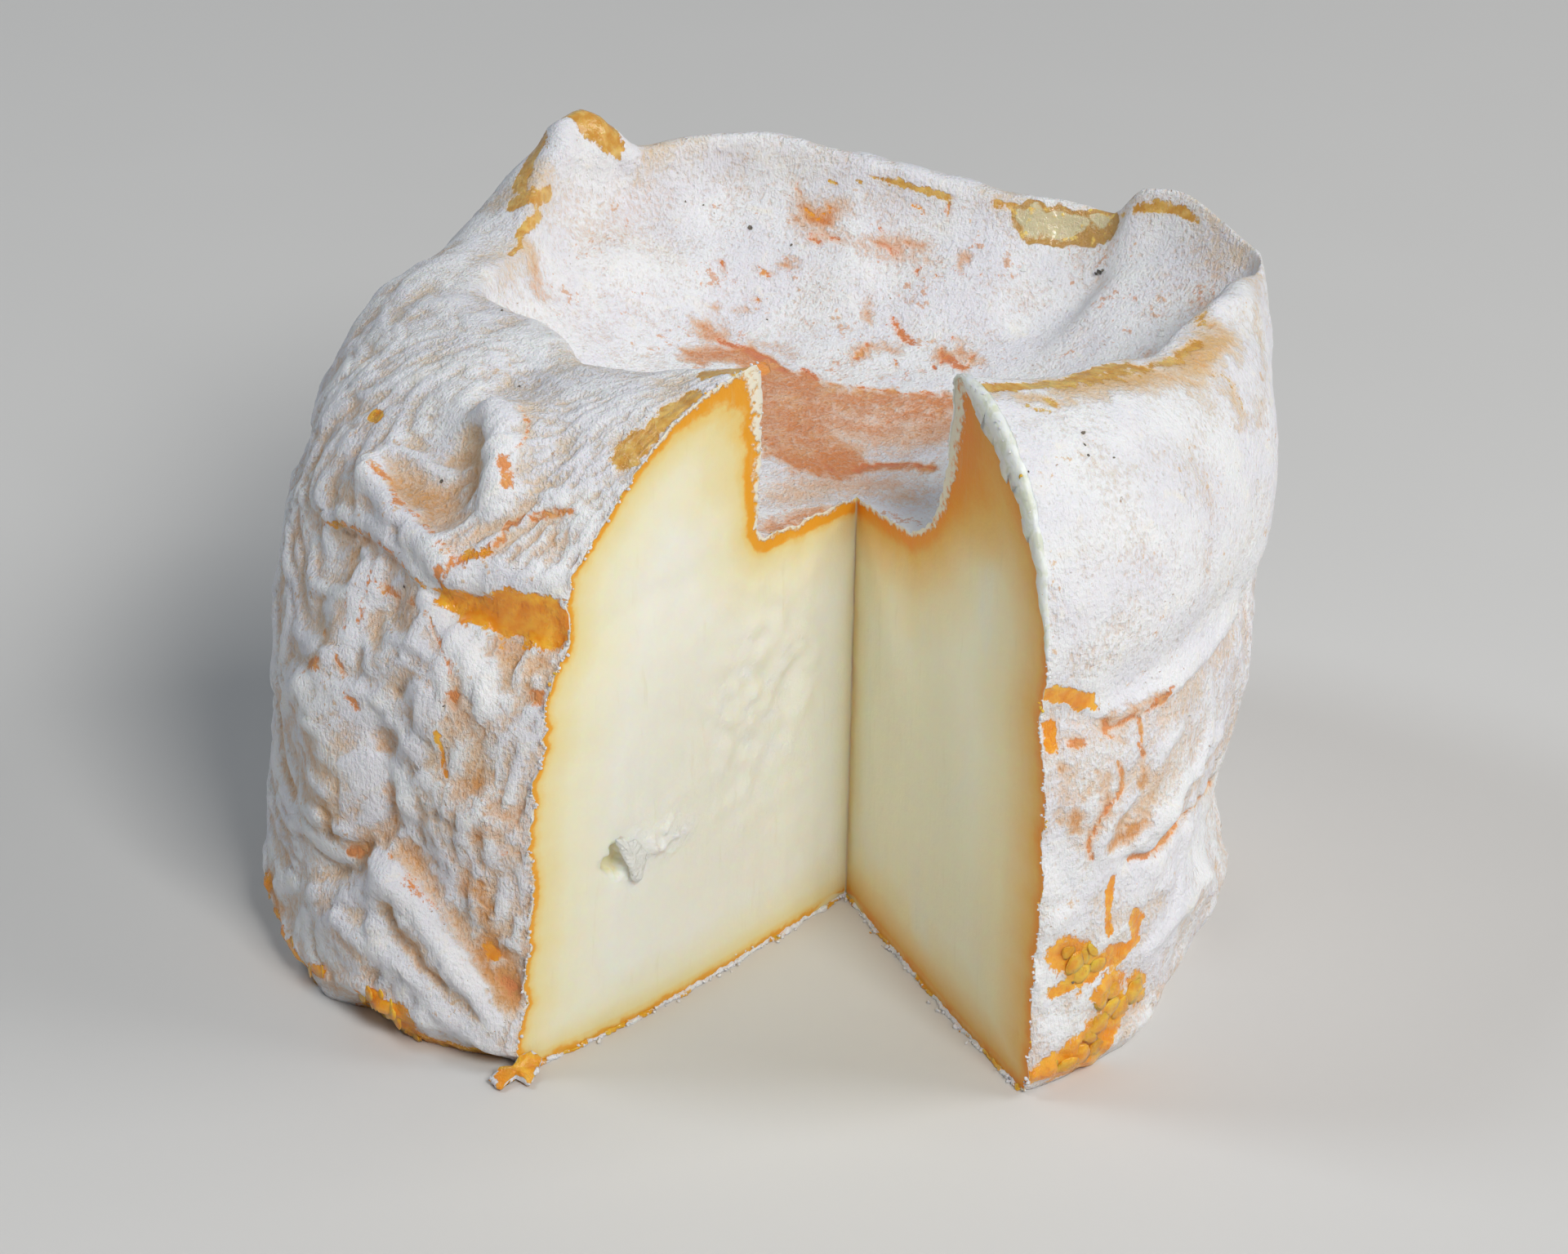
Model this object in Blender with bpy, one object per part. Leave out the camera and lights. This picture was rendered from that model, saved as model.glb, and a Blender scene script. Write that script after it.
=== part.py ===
"""A small washed-rind cheese with a sunken top, one wedge cut out of it.

Metres, +Z up. The origin is on the surface that the cheese stands on, at the
middle of the cheese's box. The cut opens towards -Y.

The body is swept about the cut's inner edge, an upright line where the two cut
faces meet. Angles are taken about that line: 0 points to the front, 90 to the
right (+X), 180 to the back and 270 to the left. In each half-plane from the
line the outline runs over the sunken floor, up the hollow's wall, over the rim
and down the outer wall to the base.
"""

import math

import bpy
import numpy as np

MM = 0.001

# Driving dimensions, in millimetres and degrees
FLOOR_HEIGHT = 38.4
CUT_RIGHT, CUT_LEFT = 25.5, 317.4
AXIS_X, AXIS_Y = -8.0, 6.0  # the round wall's middle, seen from the cut's inner edge
LEAN = 0.051  # how far the wall drifts to the right for each unit of height
FOOT_HEIGHT, FOOT_INSET = 3.0, 0.6  # the rounded lower edge
RIM_ROUNDING = 1.1

# The wall's radius about its own middle: (angle about the middle, radius at the foot, at 40 high)
WALL = (
    (20, 42.0, 42.0),
    (35, 43.1, 42.4),
    (47, 42.8, 41.8),
    (62, 40.8, 40.6),
    (90, 40.0, 39.9),
    (112, 40.2, 42.0),
    (135, 41.0, 41.4),
    (180, 41.4, 40.8),
    (225, 41.6, 41.0),
    (262, 41.4, 40.5),
    (290, 43.0, 41.2),
    (305, 43.1, 40.6),
    (319, 42.1, 39.2),
    (328, 39.8, 37.6),
    (336, 38.0, 36.0),
)
WALL_TOP = 40.0

# The rim's highest line: (angle, distance from the cut's inner edge, height)
CREST = (
    (25.5, 16.6, 57.4),
    (57, 18.9, 55.6),
    (70, 19.8, 55.0),
    (81, 23.0, 54.0),
    (93, 24.9, 54.0),
    (111, 32.6, 52.5),
    (125, 40.4, 52.4),
    (137, 40.2, 54.4),
    (142, 39.0, 53.8),
    (147, 39.6, 50.4),
    (160, 37.2, 50.8),
    (170, 37.4, 51.5),
    (180, 38.6, 52.5),
    (192, 42.0, 53.6),
    (200, 43.2, 53.1),
    (206, 43.4, 52.6),
    (213, 44.2, 56.0),
    (220, 41.4, 54.0),
    (231, 36.8, 49.8),
    (242, 35.2, 50.0),
    (261, 24.7, 51.5),
    (279, 21.4, 52.0),
    (299, 14.6, 53.6),
    (317.4, 11.7, 54.8),
)

# The sunken floor's edge: (angle, distance, height)
FLOOR_EDGE = (
    (25.5, 8.2, 39.7),
    (70, 13.5, 39.4),
    (100, 17.0, 40.5),
    (130, 22.0, 41.0),
    (155, 21.0, 39.6),
    (180, 20.4, 39.4),
    (207, 26.8, 39.8),
    (240, 23.0, 39.6),
    (275, 15.0, 38.6),
    (317.4, 11.6, 38.9),
)

# How the section rounds over: (angle, height where the outer wall starts to turn in,
# squareness of that turn, squareness of the hollow's wall). A squareness of 2 is an ellipse.
ROUNDING = (
    (25.5, 22, 2.7, 2.2),
    (70, 27, 2.8, 2.6),
    (100, 42, 2.6, 1.8),
    (130, 45, 2.2, 1.7),
    (160, 40, 2.1, 1.7),
    (185, 38, 2.1, 1.7),
    (213, 43, 2.1, 1.8),
    (235, 36, 2.6, 2.0),
    (255, 30, 2.6, 2.2),
    (280, 23, 2.4, 2.8),
    (317.4, 15, 2.25, 4.0),
)

# The soft paste bulges out of both cut faces: (height, bulge of the left face, of the right face)
CUT_BULGE = (
    (0, 1.0, 0.3),
    (12, 1.2, 0.5),
    (30, 0.8, 0.5),
    (38, 0.0, 0.0),
)
BULGE_REACH = 9.0  # how far behind a cut face the bulge dies out
BULGE_SKEW = 1.5  # above 1, the bulge is widest nearer to the rind

# Swellings and creases of the rind: (height above the rind, half-width, middle line). A line is
# (angle, distance down the outside from the rim's crest) points, and inside the rim the
# distances are negative. Creases are below the rind.
FOLDS = (
    # The left wall, from the top slope down
    (-0.8, 2.2, ((275, 4.5), (280, 7), (284, 9.5))),
    (1.4, 2.4, ((291, 13.5), (296, 16), (301, 20))),
    (-0.9, 2.0, ((286, 16), (291, 18.5), (296, 23))),
    (1.2, 2.2, ((284, 22), (293, 24.6), (298, 26.4), (303, 28))),
    (-1.0, 2.4, ((280, 29), (289, 30), (297, 32.5))),
    (1.3, 2.8, ((305, 25.6), (312, 25.4), (317.4, 24.6))),
    (-1.0, 1.8, ((304, 30), (310, 30.6), (317.4, 30))),
    (0.9, 1.6, ((291, 31), (292, 38))),
    (1.0, 2.2, ((300, 32.4), (306, 34), (311, 37.6))),
    (0.8, 1.7, ((299, 37), (304, 36.6), (307, 40))),
    (1.6, 4.0, ((291, 42), (293.5, 47), (294, 51))),
    (-0.9, 1.8, ((300, 44), (301, 49), (299, 54.5), (294, 57))),
    (-0.9, 2.0, ((304, 51), (308, 55), (313, 59))),
    (1.0, 2.2, ((302, 56), (308, 59.4), (313, 63), (317.4, 66))),
    (0.6, 2.6, ((312, 47), (314, 48))),
    (0.7, 2.0, ((292, 60), (300, 63))),
    # The right wall: a swollen upper part over a crease, and a waist
    (0.8, 8.0, ((28, 20), (60, 18), (85, 18))),
    (-1.0, 2.6, ((90, 25), (76, 26.5), (57, 27.5), (44, 29.6), (25.5, 32.5))),
    (-1.2, 6.0, ((74, 46), (100, 45), (125, 40), (150, 40))),
    (0.8, 3.0, ((60, 52), (80, 54), (95, 54))),
    # The rim on the right: a bump, the dip behind it and a fold down into the hollow
    (1.3, 2.4, ((104, 2), (111, 0))),
    (-0.6, 2.4, ((117, -5), (121, -4))),
    (-0.8, 2.2, ((139, -5), (145, -8), (150, -12))),
    # The hollow's back wall
    (0.9, 3.6, ((182, -11), (196, -12), (212, -13))),
    (-0.9, 3.0, ((196, -4), (206, -4.5))),
    (0.8, 3.0, ((160, -8), (168, -10))),
    # The back of the outer wall
    (1.1, 3.0, ((163, 18), (174, 26), (190, 30))),
    (-0.9, 2.6, ((168, 34), (196, 38), (222, 35))),
    (1.1, 3.4, ((206, 24), (220, 29), (238, 33))),
    (1.0, 4.0, ((246, 42), (258, 46))),
    (-0.9, 2.4, ((235, 20), (250, 26), (268, 28))),
    (1.0, 3.0, ((126, 26), (142, 32), (150, 40))),
    (-0.8, 2.4, ((112, 30), (126, 35), (144, 26))),
    (0.9, 3.4, ((176, 46), (205, 48))),
)

# How finely the curves are worked out, before the mesh's own points are read from them
QUARTER_SAMPLES, FLOOR_SAMPLES, WALL_SAMPLES, SECTION_SAMPLES = 60, 20, 60, 500
FOOT_SAMPLES = 120
RADIUS_GUESS, RADIUS_ROUNDS = 40.0, 4

# Mesh density
COLUMNS = 92
FLOOR_ROWS, HOLLOW_ROWS, RIM_ROWS, WALL_ROWS = 5, 10, 14, 13
BASE_RINGS = (0.75, 0.45, 0.18)
EDGE_POINTS = 8
CUT_RINGS = (0.8, 0.55, 0.3, 0.12)
CUT_MIDDLE = (19.0, 24.0)  # a point of each cut face, (distance, height), that sees all its rim

RIND_COLOUR, RIND_ROUGHNESS = (0.86, 0.78, 0.73), 0.75
PASTE_COLOUR, PASTE_ROUGHNESS = (0.89, 0.81, 0.55), 0.4
SHARP_ANGLE = 50  # degrees, above which an edge isn't shaded smooth


def smooth(stations, column, at):
    """A curve through the stations' column without overshoot, read at the positions given."""
    x = np.array([row[0] for row in stations], float)
    y = np.array([row[column] for row in stations], float)
    step = np.diff(x)
    slope = np.diff(y) / step
    tangent = np.concatenate(([slope[0]], np.zeros(len(x) - 2), [slope[-1]]))
    for k in range(1, len(x) - 1):
        if slope[k - 1] * slope[k] > 0:
            before, after = 2 * step[k] + step[k - 1], step[k] + 2 * step[k - 1]
            tangent[k] = (before + after) / (before / slope[k - 1] + after / slope[k])
    at = np.clip(at, x[0], x[-1])
    k = np.clip(np.searchsorted(x, at, side="right") - 1, 0, len(step) - 1)
    t = (at - x[k]) / step[k]
    start = (1 + 2 * t) * (1 - t) ** 2 * y[k] + t * (1 - t) ** 2 * step[k] * tangent[k]
    end = t * t * (3 - 2 * t) * y[k + 1] + t * t * (t - 1) * step[k] * tangent[k + 1]
    return start + end


def direction(angle):
    """The unit vector in the ground that an angle about the cut's inner edge points along."""
    return np.stack([np.sin(np.radians(angle)), -np.cos(np.radians(angle))], -1)


def wall_distance(angle, height):
    """Distance from the cut's inner edge to the outer wall."""
    aim = direction(angle)
    middle = np.stack([AXIS_X + LEAN * height, np.full_like(height, AXIS_Y)], -1)
    along = middle @ aim
    distance = np.full_like(height, RADIUS_GUESS)
    for _ in range(RADIUS_ROUNDS):
        out = distance[:, None] * aim - middle
        turn = np.degrees(np.arctan2(out[:, 0], -out[:, 1])) % 360
        low, high = smooth(WALL, 1, turn), smooth(WALL, 2, turn)
        radius = low + (high - low) * height / WALL_TOP
        distance = along + np.sqrt(along**2 + radius**2 - (middle**2).sum(1))
    foot = np.clip(1 - height / FOOT_HEIGHT, 0, 1)
    return distance - FOOT_INSET * foot**2


def section(angle):
    """The outline in the half-plane at an angle, as evenly spaced (distance, height) points, and
    the lengths along it of its start, floor edge, crest, shoulder and foot."""
    crest = np.array([smooth(CREST, 1, angle), smooth(CREST, 2, angle)])
    edge = np.array([smooth(FLOOR_EDGE, 1, angle), smooth(FLOOR_EDGE, 2, angle)])
    turn_height = float(smooth(ROUNDING, 1, angle))
    outer_power, inner_power = smooth(ROUNDING, 2, angle), smooth(ROUNDING, 3, angle)
    shoulder = np.array([wall_distance(angle, np.array([turn_height]))[0], turn_height])
    quarter = np.linspace(0, math.pi / 2, QUARTER_SAMPLES)[:, None]
    rise, fall = np.sin(quarter), np.cos(quarter)
    inward = np.hstack([rise ** (2 / inner_power), 1 - fall ** (2 / inner_power)])
    outward = np.hstack([rise ** (2 / outer_power), 1 - fall ** (2 / outer_power)])
    across = np.linspace(0, 1, FLOOR_SAMPLES)[:, None]
    floor = np.array([0, FLOOR_HEIGHT]) * (1 - across) + edge * across
    heights = np.linspace(turn_height, 0, WALL_SAMPLES)
    wall = np.stack([wall_distance(angle, heights), heights], -1)
    parts = [floor, edge + (crest - edge) * inward, crest + (shoulder - crest) * outward, wall]
    points = np.vstack([parts[0], *(part[1:] for part in parts[1:])])
    length = np.concatenate(([0], np.cumsum(np.hypot(*np.diff(points, axis=0).T))))
    breaks = length[np.cumsum([0] + [len(part) - 1 for part in parts])]
    even = np.linspace(0, length[-1], SECTION_SAMPLES)
    points = np.stack([np.interp(even, length, points[:, k]) for k in (0, 1)], -1)
    return rounded(points, RIM_ROUNDING / even[1]), even, breaks


def rounded(points, spread):
    """The points smoothed along their line, with both ends kept."""
    reach = int(3 * spread)
    weights = np.exp(-0.5 * (np.arange(-reach, reach + 1) / spread) ** 2)
    weights /= weights.sum()
    start = 2 * points[0] - points[reach:0:-1]
    end = 2 * points[-1] - points[-2 : -reach - 2 : -1]
    line = np.vstack([start, points, end])
    return np.stack([np.convolve(line[:, k], weights, "valid") for k in (0, 1)], -1)


def body_grid():
    """Points over the top and the outer wall: one column for each angle, one row for each place
    along the section, from next to the cut's inner edge to the foot. Also each point's
    angle, and its distance down the outside from the rim's crest."""
    angles = np.linspace(CUT_RIGHT, CUT_LEFT, COLUMNS)
    rows = (FLOOR_ROWS, HOLLOW_ROWS, RIM_ROWS, WALL_ROWS)
    places = np.concatenate([[0]] + [k + np.arange(1, n + 1) / n for k, n in enumerate(rows)])[1:]
    grid, down = [], []
    for angle in angles:
        points, even, breaks = section(angle)
        at = np.interp(places, range(len(rows) + 1), breaks)
        distance, height = (np.interp(at, even, points[:, k]) for k in (0, 1))
        grid.append(np.column_stack([distance[:, None] * direction(angle), height]))
        down.append(at - breaks[2])
    return np.array(grid), np.repeat(angles[:, None], len(places), 1), np.array(down)


def fold_height(angle, down, away):
    """How far the folds raise the rind at places given by angle and distance down from the
    crest. away is each place's distance from the cut's inner edge."""
    total = np.zeros_like(angle)
    for height, width, line in FOLDS:
        nearest = np.full_like(angle, np.inf)
        for (angle_a, down_a), (angle_b, down_b) in zip(line, line[1:]):
            scale = np.radians(1) * away
            run = np.stack([(angle_b - angle_a) * scale, np.full_like(down, down_b - down_a)])
            to = np.stack([(angle - angle_a) * scale, down - down_a])
            share = np.clip((run * to).sum(0) / (run * run).sum(0), 0, 1)
            nearest = np.minimum(nearest, np.hypot(*(to - share * run)))
        total += height * np.exp(-((nearest / width) ** 2))
    return total


def lifts(grid, angle):
    """The unit directions that folds rise in: outward, and within each column's half-plane."""
    across, along = np.gradient(grid, axis=0), np.gradient(grid, axis=1)
    facing = np.cross(along, across)
    turn = np.radians(angle)
    sideways = np.stack([np.cos(turn), np.sin(turn), np.zeros_like(turn)], -1)
    facing -= (facing * sideways).sum(-1, keepdims=True) * sideways
    return facing / np.linalg.norm(facing, axis=-1, keepdims=True)


def bulged(points):
    """The points with the paste's bulge out of the cut faces."""
    away = np.hypot(points[..., 0], points[..., 1])
    angle = np.degrees(np.arctan2(points[..., 0], -points[..., 1])) % 360
    reach = wall_distance_at_base(angle)
    swell = np.sin(np.pi * np.clip(away / reach, 0, 1) ** BULGE_SKEW)
    for cut, column, sign in ((CUT_LEFT, 1, 1), (CUT_RIGHT, 2, -1)):
        behind = np.abs(np.radians(cut - angle)) * away
        amount = smooth(CUT_BULGE, column, points[..., 2]) * swell
        amount = amount * np.exp(-((behind / BULGE_REACH) ** 2))
        toward = sign * np.array([math.cos(math.radians(cut)), math.sin(math.radians(cut))])
        points = points + amount[..., None] * np.append(toward, 0)
    return points


def wall_distance_at_base(angle):
    """Distance from the cut's inner edge to the foot, for an array of angles."""
    table = np.linspace(CUT_RIGHT, CUT_LEFT, FOOT_SAMPLES)
    foot = [wall_distance(a, np.zeros(1))[0] for a in table]
    return np.interp(angle, table, foot)


def cheese_mesh():
    """Vertices in millimetres about the cut's inner edge, and faces with their materials."""
    grid, angle, down = body_grid()
    lift = fold_height(angle, down, np.hypot(grid[..., 0], grid[..., 1]))
    lift *= np.clip(grid[..., 2] / FOOT_HEIGHT, 0, 1)
    grid = grid + lifts(grid, angle) * lift[..., None]
    columns, rows = grid.shape[:2]
    vertices, faces = list(grid.reshape(-1, 3)), []

    def add(point):
        vertices.append(np.array(point, float))
        return len(vertices) - 1

    top, bottom = add((0, 0, FLOOR_HEIGHT)), add((0, 0, 0))
    body = np.arange(columns * rows).reshape(columns, rows)
    rings = [body[:, -1]]
    for share in BASE_RINGS:
        rings.append(np.array([add(grid[i, -1] * (share, share, 0)) for i in range(columns)]))
    lines = [np.concatenate([body[i], [ring[i] for ring in rings[1:]]]) for i in range(columns)]
    for one, two in zip(lines, lines[1:]):
        faces.append((top, one[0], two[0], 0))
        faces += [(one[j], one[j + 1], two[j + 1], two[j], 0) for j in range(len(one) - 1)]
        faces.append((one[-1], bottom, two[-1], 0))

    heights = np.linspace(0, FLOOR_HEIGHT, EDGE_POINTS + 2)[1:-1]
    edge = [add((0, 0, z)) for z in heights]
    for line, cut, turned in ((lines[0], CUT_RIGHT, False), (lines[-1], CUT_LEFT, True)):
        loop = [top, *line, bottom, *edge]
        middle = np.append(CUT_MIDDLE[0] * direction(cut), CUT_MIDDLE[1])
        outer = loop
        for share in CUT_RINGS:
            inner = [add(middle + share * (vertices[k] - middle)) for k in loop]
            for k in range(len(loop)):
                after = (k + 1) % len(loop)
                quad = (outer[k], inner[k], inner[after], outer[after])
                faces.append((*(quad[::-1] if turned else quad), 1))
            outer = inner
        centre = add(middle)
        for k in range(len(loop)):
            fan = (outer[k], centre, outer[(k + 1) % len(loop)])
            faces.append((*(fan[::-1] if turned else fan), 1))
    return bulged(np.array(vertices)), faces


def material(name, colour, roughness):
    """A Principled material."""
    made = bpy.data.materials.new(name)
    made.use_nodes = True
    shader = made.node_tree.nodes["Principled BSDF"]
    shader.inputs["Base Color"].default_value = (*colour, 1)
    shader.inputs["Roughness"].default_value = roughness
    shader.inputs["Metallic"].default_value = 0
    return made


def build():
    """Makes the cheese as one closed solid."""
    for old in list(bpy.data.objects):
        bpy.data.objects.remove(old, do_unlink=True)
    points, faces = cheese_mesh()
    middle = (points.min(0) + points.max(0)) / 2
    points = (points - (middle[0], middle[1], 0)) * MM
    mesh = bpy.data.meshes.new("cheese")
    mesh.from_pydata([tuple(p) for p in points], [], [tuple(map(int, f[:-1])) for f in faces])
    mesh.materials.append(material("rind", RIND_COLOUR, RIND_ROUGHNESS))
    mesh.materials.append(material("paste", PASTE_COLOUR, PASTE_ROUGHNESS))
    mesh.polygons.foreach_set("material_index", [f[-1] for f in faces])
    mesh.shade_smooth()
    mesh.set_sharp_from_angle(angle=math.radians(SHARP_ANGLE))
    mesh.update()
    bpy.context.scene.collection.objects.link(bpy.data.objects.new("cheese", mesh))


build()
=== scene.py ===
"""The looks of a small washed-rind cheese with a sunken top and one wedge cut out.

Lengths are in millimetres about the cut's inner edge, the upright line where the two cut faces
meet, and become metres of the shared frame when a mesh is made. Angles are taken about that line:
0 points to the front, 90 to the right, 180 to the back and 270 to the left. "Down" is the distance
along the section from the rim's crest, positive outside and negative in the hollow. Marks on the
rind and the cut are placed by pixels of the photograph, which are cast onto the surface.
"""

import itertools
import math

import bmesh
import bpy
import numpy as np
from mathutils import Matrix, Vector
from mathutils.bvhtree import BVHTree
from mathutils.geometry import delaunay_2d_cdt


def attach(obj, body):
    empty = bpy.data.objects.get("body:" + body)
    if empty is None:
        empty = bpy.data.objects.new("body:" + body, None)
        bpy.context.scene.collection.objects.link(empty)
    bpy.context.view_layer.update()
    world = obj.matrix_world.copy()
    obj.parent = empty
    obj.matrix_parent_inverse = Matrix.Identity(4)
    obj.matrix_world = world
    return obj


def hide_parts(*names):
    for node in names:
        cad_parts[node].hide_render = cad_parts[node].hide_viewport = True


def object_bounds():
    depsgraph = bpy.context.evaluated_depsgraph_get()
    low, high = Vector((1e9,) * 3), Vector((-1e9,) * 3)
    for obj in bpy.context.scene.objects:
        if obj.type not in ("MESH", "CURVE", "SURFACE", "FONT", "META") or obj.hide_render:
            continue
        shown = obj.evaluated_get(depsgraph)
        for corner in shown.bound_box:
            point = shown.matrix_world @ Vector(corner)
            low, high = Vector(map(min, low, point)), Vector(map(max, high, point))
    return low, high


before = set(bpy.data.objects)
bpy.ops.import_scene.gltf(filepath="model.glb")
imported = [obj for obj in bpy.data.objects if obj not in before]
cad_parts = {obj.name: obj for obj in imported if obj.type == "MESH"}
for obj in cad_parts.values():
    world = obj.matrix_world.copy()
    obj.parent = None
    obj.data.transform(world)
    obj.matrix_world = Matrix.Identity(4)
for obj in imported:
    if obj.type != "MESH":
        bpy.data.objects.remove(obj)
cad_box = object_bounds()

MM = 0.001
UP = np.array([0, 0, 1.0])

# The solid's own dimensions
FLOOR_HEIGHT = 38.4
CUT_RIGHT, CUT_LEFT = 25.5, 317.4
AXIS_X, AXIS_Y = -8.0, 6.0
LEAN = 0.051
FOOT_HEIGHT, FOOT_INSET = 3.0, 0.6
RIM_ROUNDING = 1.1
WALL_TOP = 40.0

# The wall's radius about its own middle: (angle about the middle, radius at the foot, at 40 high)
WALL = (
    (20, 42.0, 42.0),
    (35, 43.1, 42.4),
    (47, 42.8, 41.8),
    (62, 40.8, 40.6),
    (90, 40.0, 39.9),
    (112, 40.2, 42.0),
    (135, 41.0, 41.4),
    (180, 41.4, 40.8),
    (225, 41.6, 41.0),
    (262, 41.4, 40.5),
    (290, 43.0, 41.2),
    (305, 43.1, 40.6),
    (319, 42.1, 39.2),
    (328, 39.8, 37.6),
    (336, 38.0, 36.0),
)

# The rim's highest line: (angle, distance from the cut's inner edge, height)
CREST = (
    (25.5, 16.6, 57.4),
    (57, 18.9, 55.6),
    (70, 19.8, 55.0),
    (81, 23.0, 54.0),
    (93, 24.9, 54.0),
    (111, 32.6, 52.5),
    (125, 40.4, 52.4),
    (137, 40.2, 54.4),
    (142, 39.0, 53.8),
    (147, 39.6, 50.4),
    (160, 37.2, 50.8),
    (170, 37.4, 51.5),
    (180, 38.6, 52.5),
    (192, 42.0, 53.6),
    (200, 43.2, 53.1),
    (206, 43.4, 52.6),
    (213, 44.2, 56.0),
    (220, 41.4, 54.0),
    (231, 36.8, 49.8),
    (242, 35.2, 50.0),
    (261, 24.7, 51.5),
    (279, 21.4, 52.0),
    (299, 14.6, 53.6),
    (317.4, 11.7, 54.8),
)

# The sunken floor's edge: (angle, distance, height)
FLOOR_EDGE = (
    (25.5, 8.2, 39.7),
    (70, 13.5, 39.4),
    (100, 17.0, 40.5),
    (130, 22.0, 41.0),
    (155, 21.0, 39.6),
    (180, 20.4, 39.4),
    (207, 26.8, 39.8),
    (240, 23.0, 39.6),
    (275, 15.0, 38.6),
    (317.4, 11.6, 38.9),
)

# (angle, height where the outer wall turns in, squareness of that turn and of the hollow's wall)
ROUNDING = (
    (25.5, 22, 2.7, 2.2),
    (70, 27, 2.8, 2.6),
    (100, 42, 2.6, 1.8),
    (130, 45, 2.2, 1.7),
    (160, 40, 2.1, 1.7),
    (185, 38, 2.1, 1.7),
    (213, 43, 2.1, 1.8),
    (235, 36, 2.6, 2.0),
    (255, 30, 2.6, 2.2),
    (280, 23, 2.4, 2.8),
    (317.4, 15, 2.25, 4.0),
)

# The paste's bulge out of the cut: (height, bulge of the left face, of the right face)
CUT_BULGE = (
    (0, 1.0, 0.3),
    (12, 1.2, 0.5),
    (30, 0.8, 0.5),
    (38, 0.0, 0.0),
)
BULGE_REACH, BULGE_SKEW = 9.0, 1.5

# The solid's folds: (height above the rind, half-width, ((angle, down), ...))
FOLDS = (
    (-0.8, 2.2, ((275, 4.5), (280, 7), (284, 9.5))),
    (1.4, 2.4, ((291, 13.5), (296, 16), (301, 20))),
    (-0.9, 2.0, ((286, 16), (291, 18.5), (296, 23))),
    (1.2, 2.2, ((284, 22), (293, 24.6), (298, 26.4), (303, 28))),
    (-1.0, 2.4, ((280, 29), (289, 30), (297, 32.5))),
    (1.3, 2.8, ((305, 25.6), (312, 25.4), (317.4, 24.6))),
    (-1.0, 1.8, ((304, 30), (310, 30.6), (317.4, 30))),
    (0.9, 1.6, ((291, 31), (292, 38))),
    (1.0, 2.2, ((300, 32.4), (306, 34), (311, 37.6))),
    (0.8, 1.7, ((299, 37), (304, 36.6), (307, 40))),
    (1.6, 4.0, ((291, 42), (293.5, 47), (294, 51))),
    (-0.9, 1.8, ((300, 44), (301, 49), (299, 54.5), (294, 57))),
    (-0.9, 2.0, ((304, 51), (308, 55), (313, 59))),
    (1.0, 2.2, ((302, 56), (308, 59.4), (313, 63), (317.4, 66))),
    (0.6, 2.6, ((312, 47), (314, 48))),
    (0.7, 2.0, ((292, 60), (300, 63))),
    (0.8, 8.0, ((28, 20), (60, 18), (85, 18))),
    (-1.0, 2.6, ((90, 25), (76, 26.5), (57, 27.5), (44, 29.6), (25.5, 32.5))),
    (-1.2, 6.0, ((74, 46), (100, 45), (125, 40), (150, 40))),
    (0.8, 3.0, ((60, 52), (80, 54), (95, 54))),
    (1.3, 2.4, ((104, 2), (111, 0))),
    (-0.6, 2.4, ((117, -5), (121, -4))),
    (-0.8, 2.2, ((139, -5), (145, -8), (150, -12))),
    (0.9, 3.6, ((182, -11), (196, -12), (212, -13))),
    (-0.9, 3.0, ((196, -4), (206, -4.5))),
    (0.8, 3.0, ((160, -8), (168, -10))),
    (1.1, 3.0, ((163, 18), (174, 26), (190, 30))),
    (-0.9, 2.6, ((168, 34), (196, 38), (222, 35))),
    (1.1, 3.4, ((206, 24), (220, 29), (238, 33))),
    (1.0, 4.0, ((246, 42), (258, 46))),
    (-0.9, 2.4, ((235, 20), (250, 26), (268, 28))),
    (1.0, 3.0, ((126, 26), (142, 32), (150, 40))),
    (-0.8, 2.4, ((112, 30), (126, 35), (144, 26))),
    (0.9, 3.4, ((176, 46), (205, 48))),
)

# The photograph's camera: its size in pixels, and how it sees the inner edge's foot
IMAGE = np.array([1920, 1536])
EDGE_PIXEL = np.array([1035, 1085])
CAMERA_DISTANCE, CAMERA_ELEVATION, CAMERA_ROLL = 430.0, 28.5, 1.2
PIXELS_PER_MM = 14.2
SENSOR_WIDTH = 36.0

# Spacing of the mesh: (angle, spacing of the columns on the wall), and rows along the section
COLUMN_SPACING = (
    (25.5, 0.28),
    (28, 0.42),
    (112, 0.46),
    (132, 0.8),
    (236, 0.8),
    (252, 0.46),
    (314.5, 0.42),
    (317.4, 0.28),
)
ROWS_INSIDE, ROWS_OUTSIDE = 60, 158

# How finely the solid's curves are worked out
RADIUS_GUESS, RADIUS_ROUNDS = 40.0, 4
QUARTER_SAMPLES, FLOOR_SAMPLES, WALL_SAMPLES, SECTION_SAMPLES = 60, 20, 60, 500
FOOT_SAMPLES, ANGLE_SAMPLES = 120, 2000

# The mesh of the base, of the cut's inner edge and of the cut faces
BASE_RINGS = (0.94, 0.82, 0.62, 0.38, 0.15)
INNER_HEIGHTS = np.linspace(0, FLOOR_HEIGHT, 62)
FACE_SPACING = 0.62
FACE_RINGS, RING_GAP = (0.2, 0.5), 0.35
FINE_REACH, FINE_SPACING, FINE_GAP = 4.8, 0.26, 0.3
# A lattice's rows, in spacings, and the point of a face's loop that is tried for its inner side
ROW_SPACING, TRIED_POINT = 0.866, 40

# How pixels are cast: where along a sight line that misses the rind the nearest place is sought,
# in distances of the camera, and the rounds that find a bulging cut face
SOUGHT = np.linspace(0.85, 1.15, 60)
BULGE_ROUNDS = 5

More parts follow.
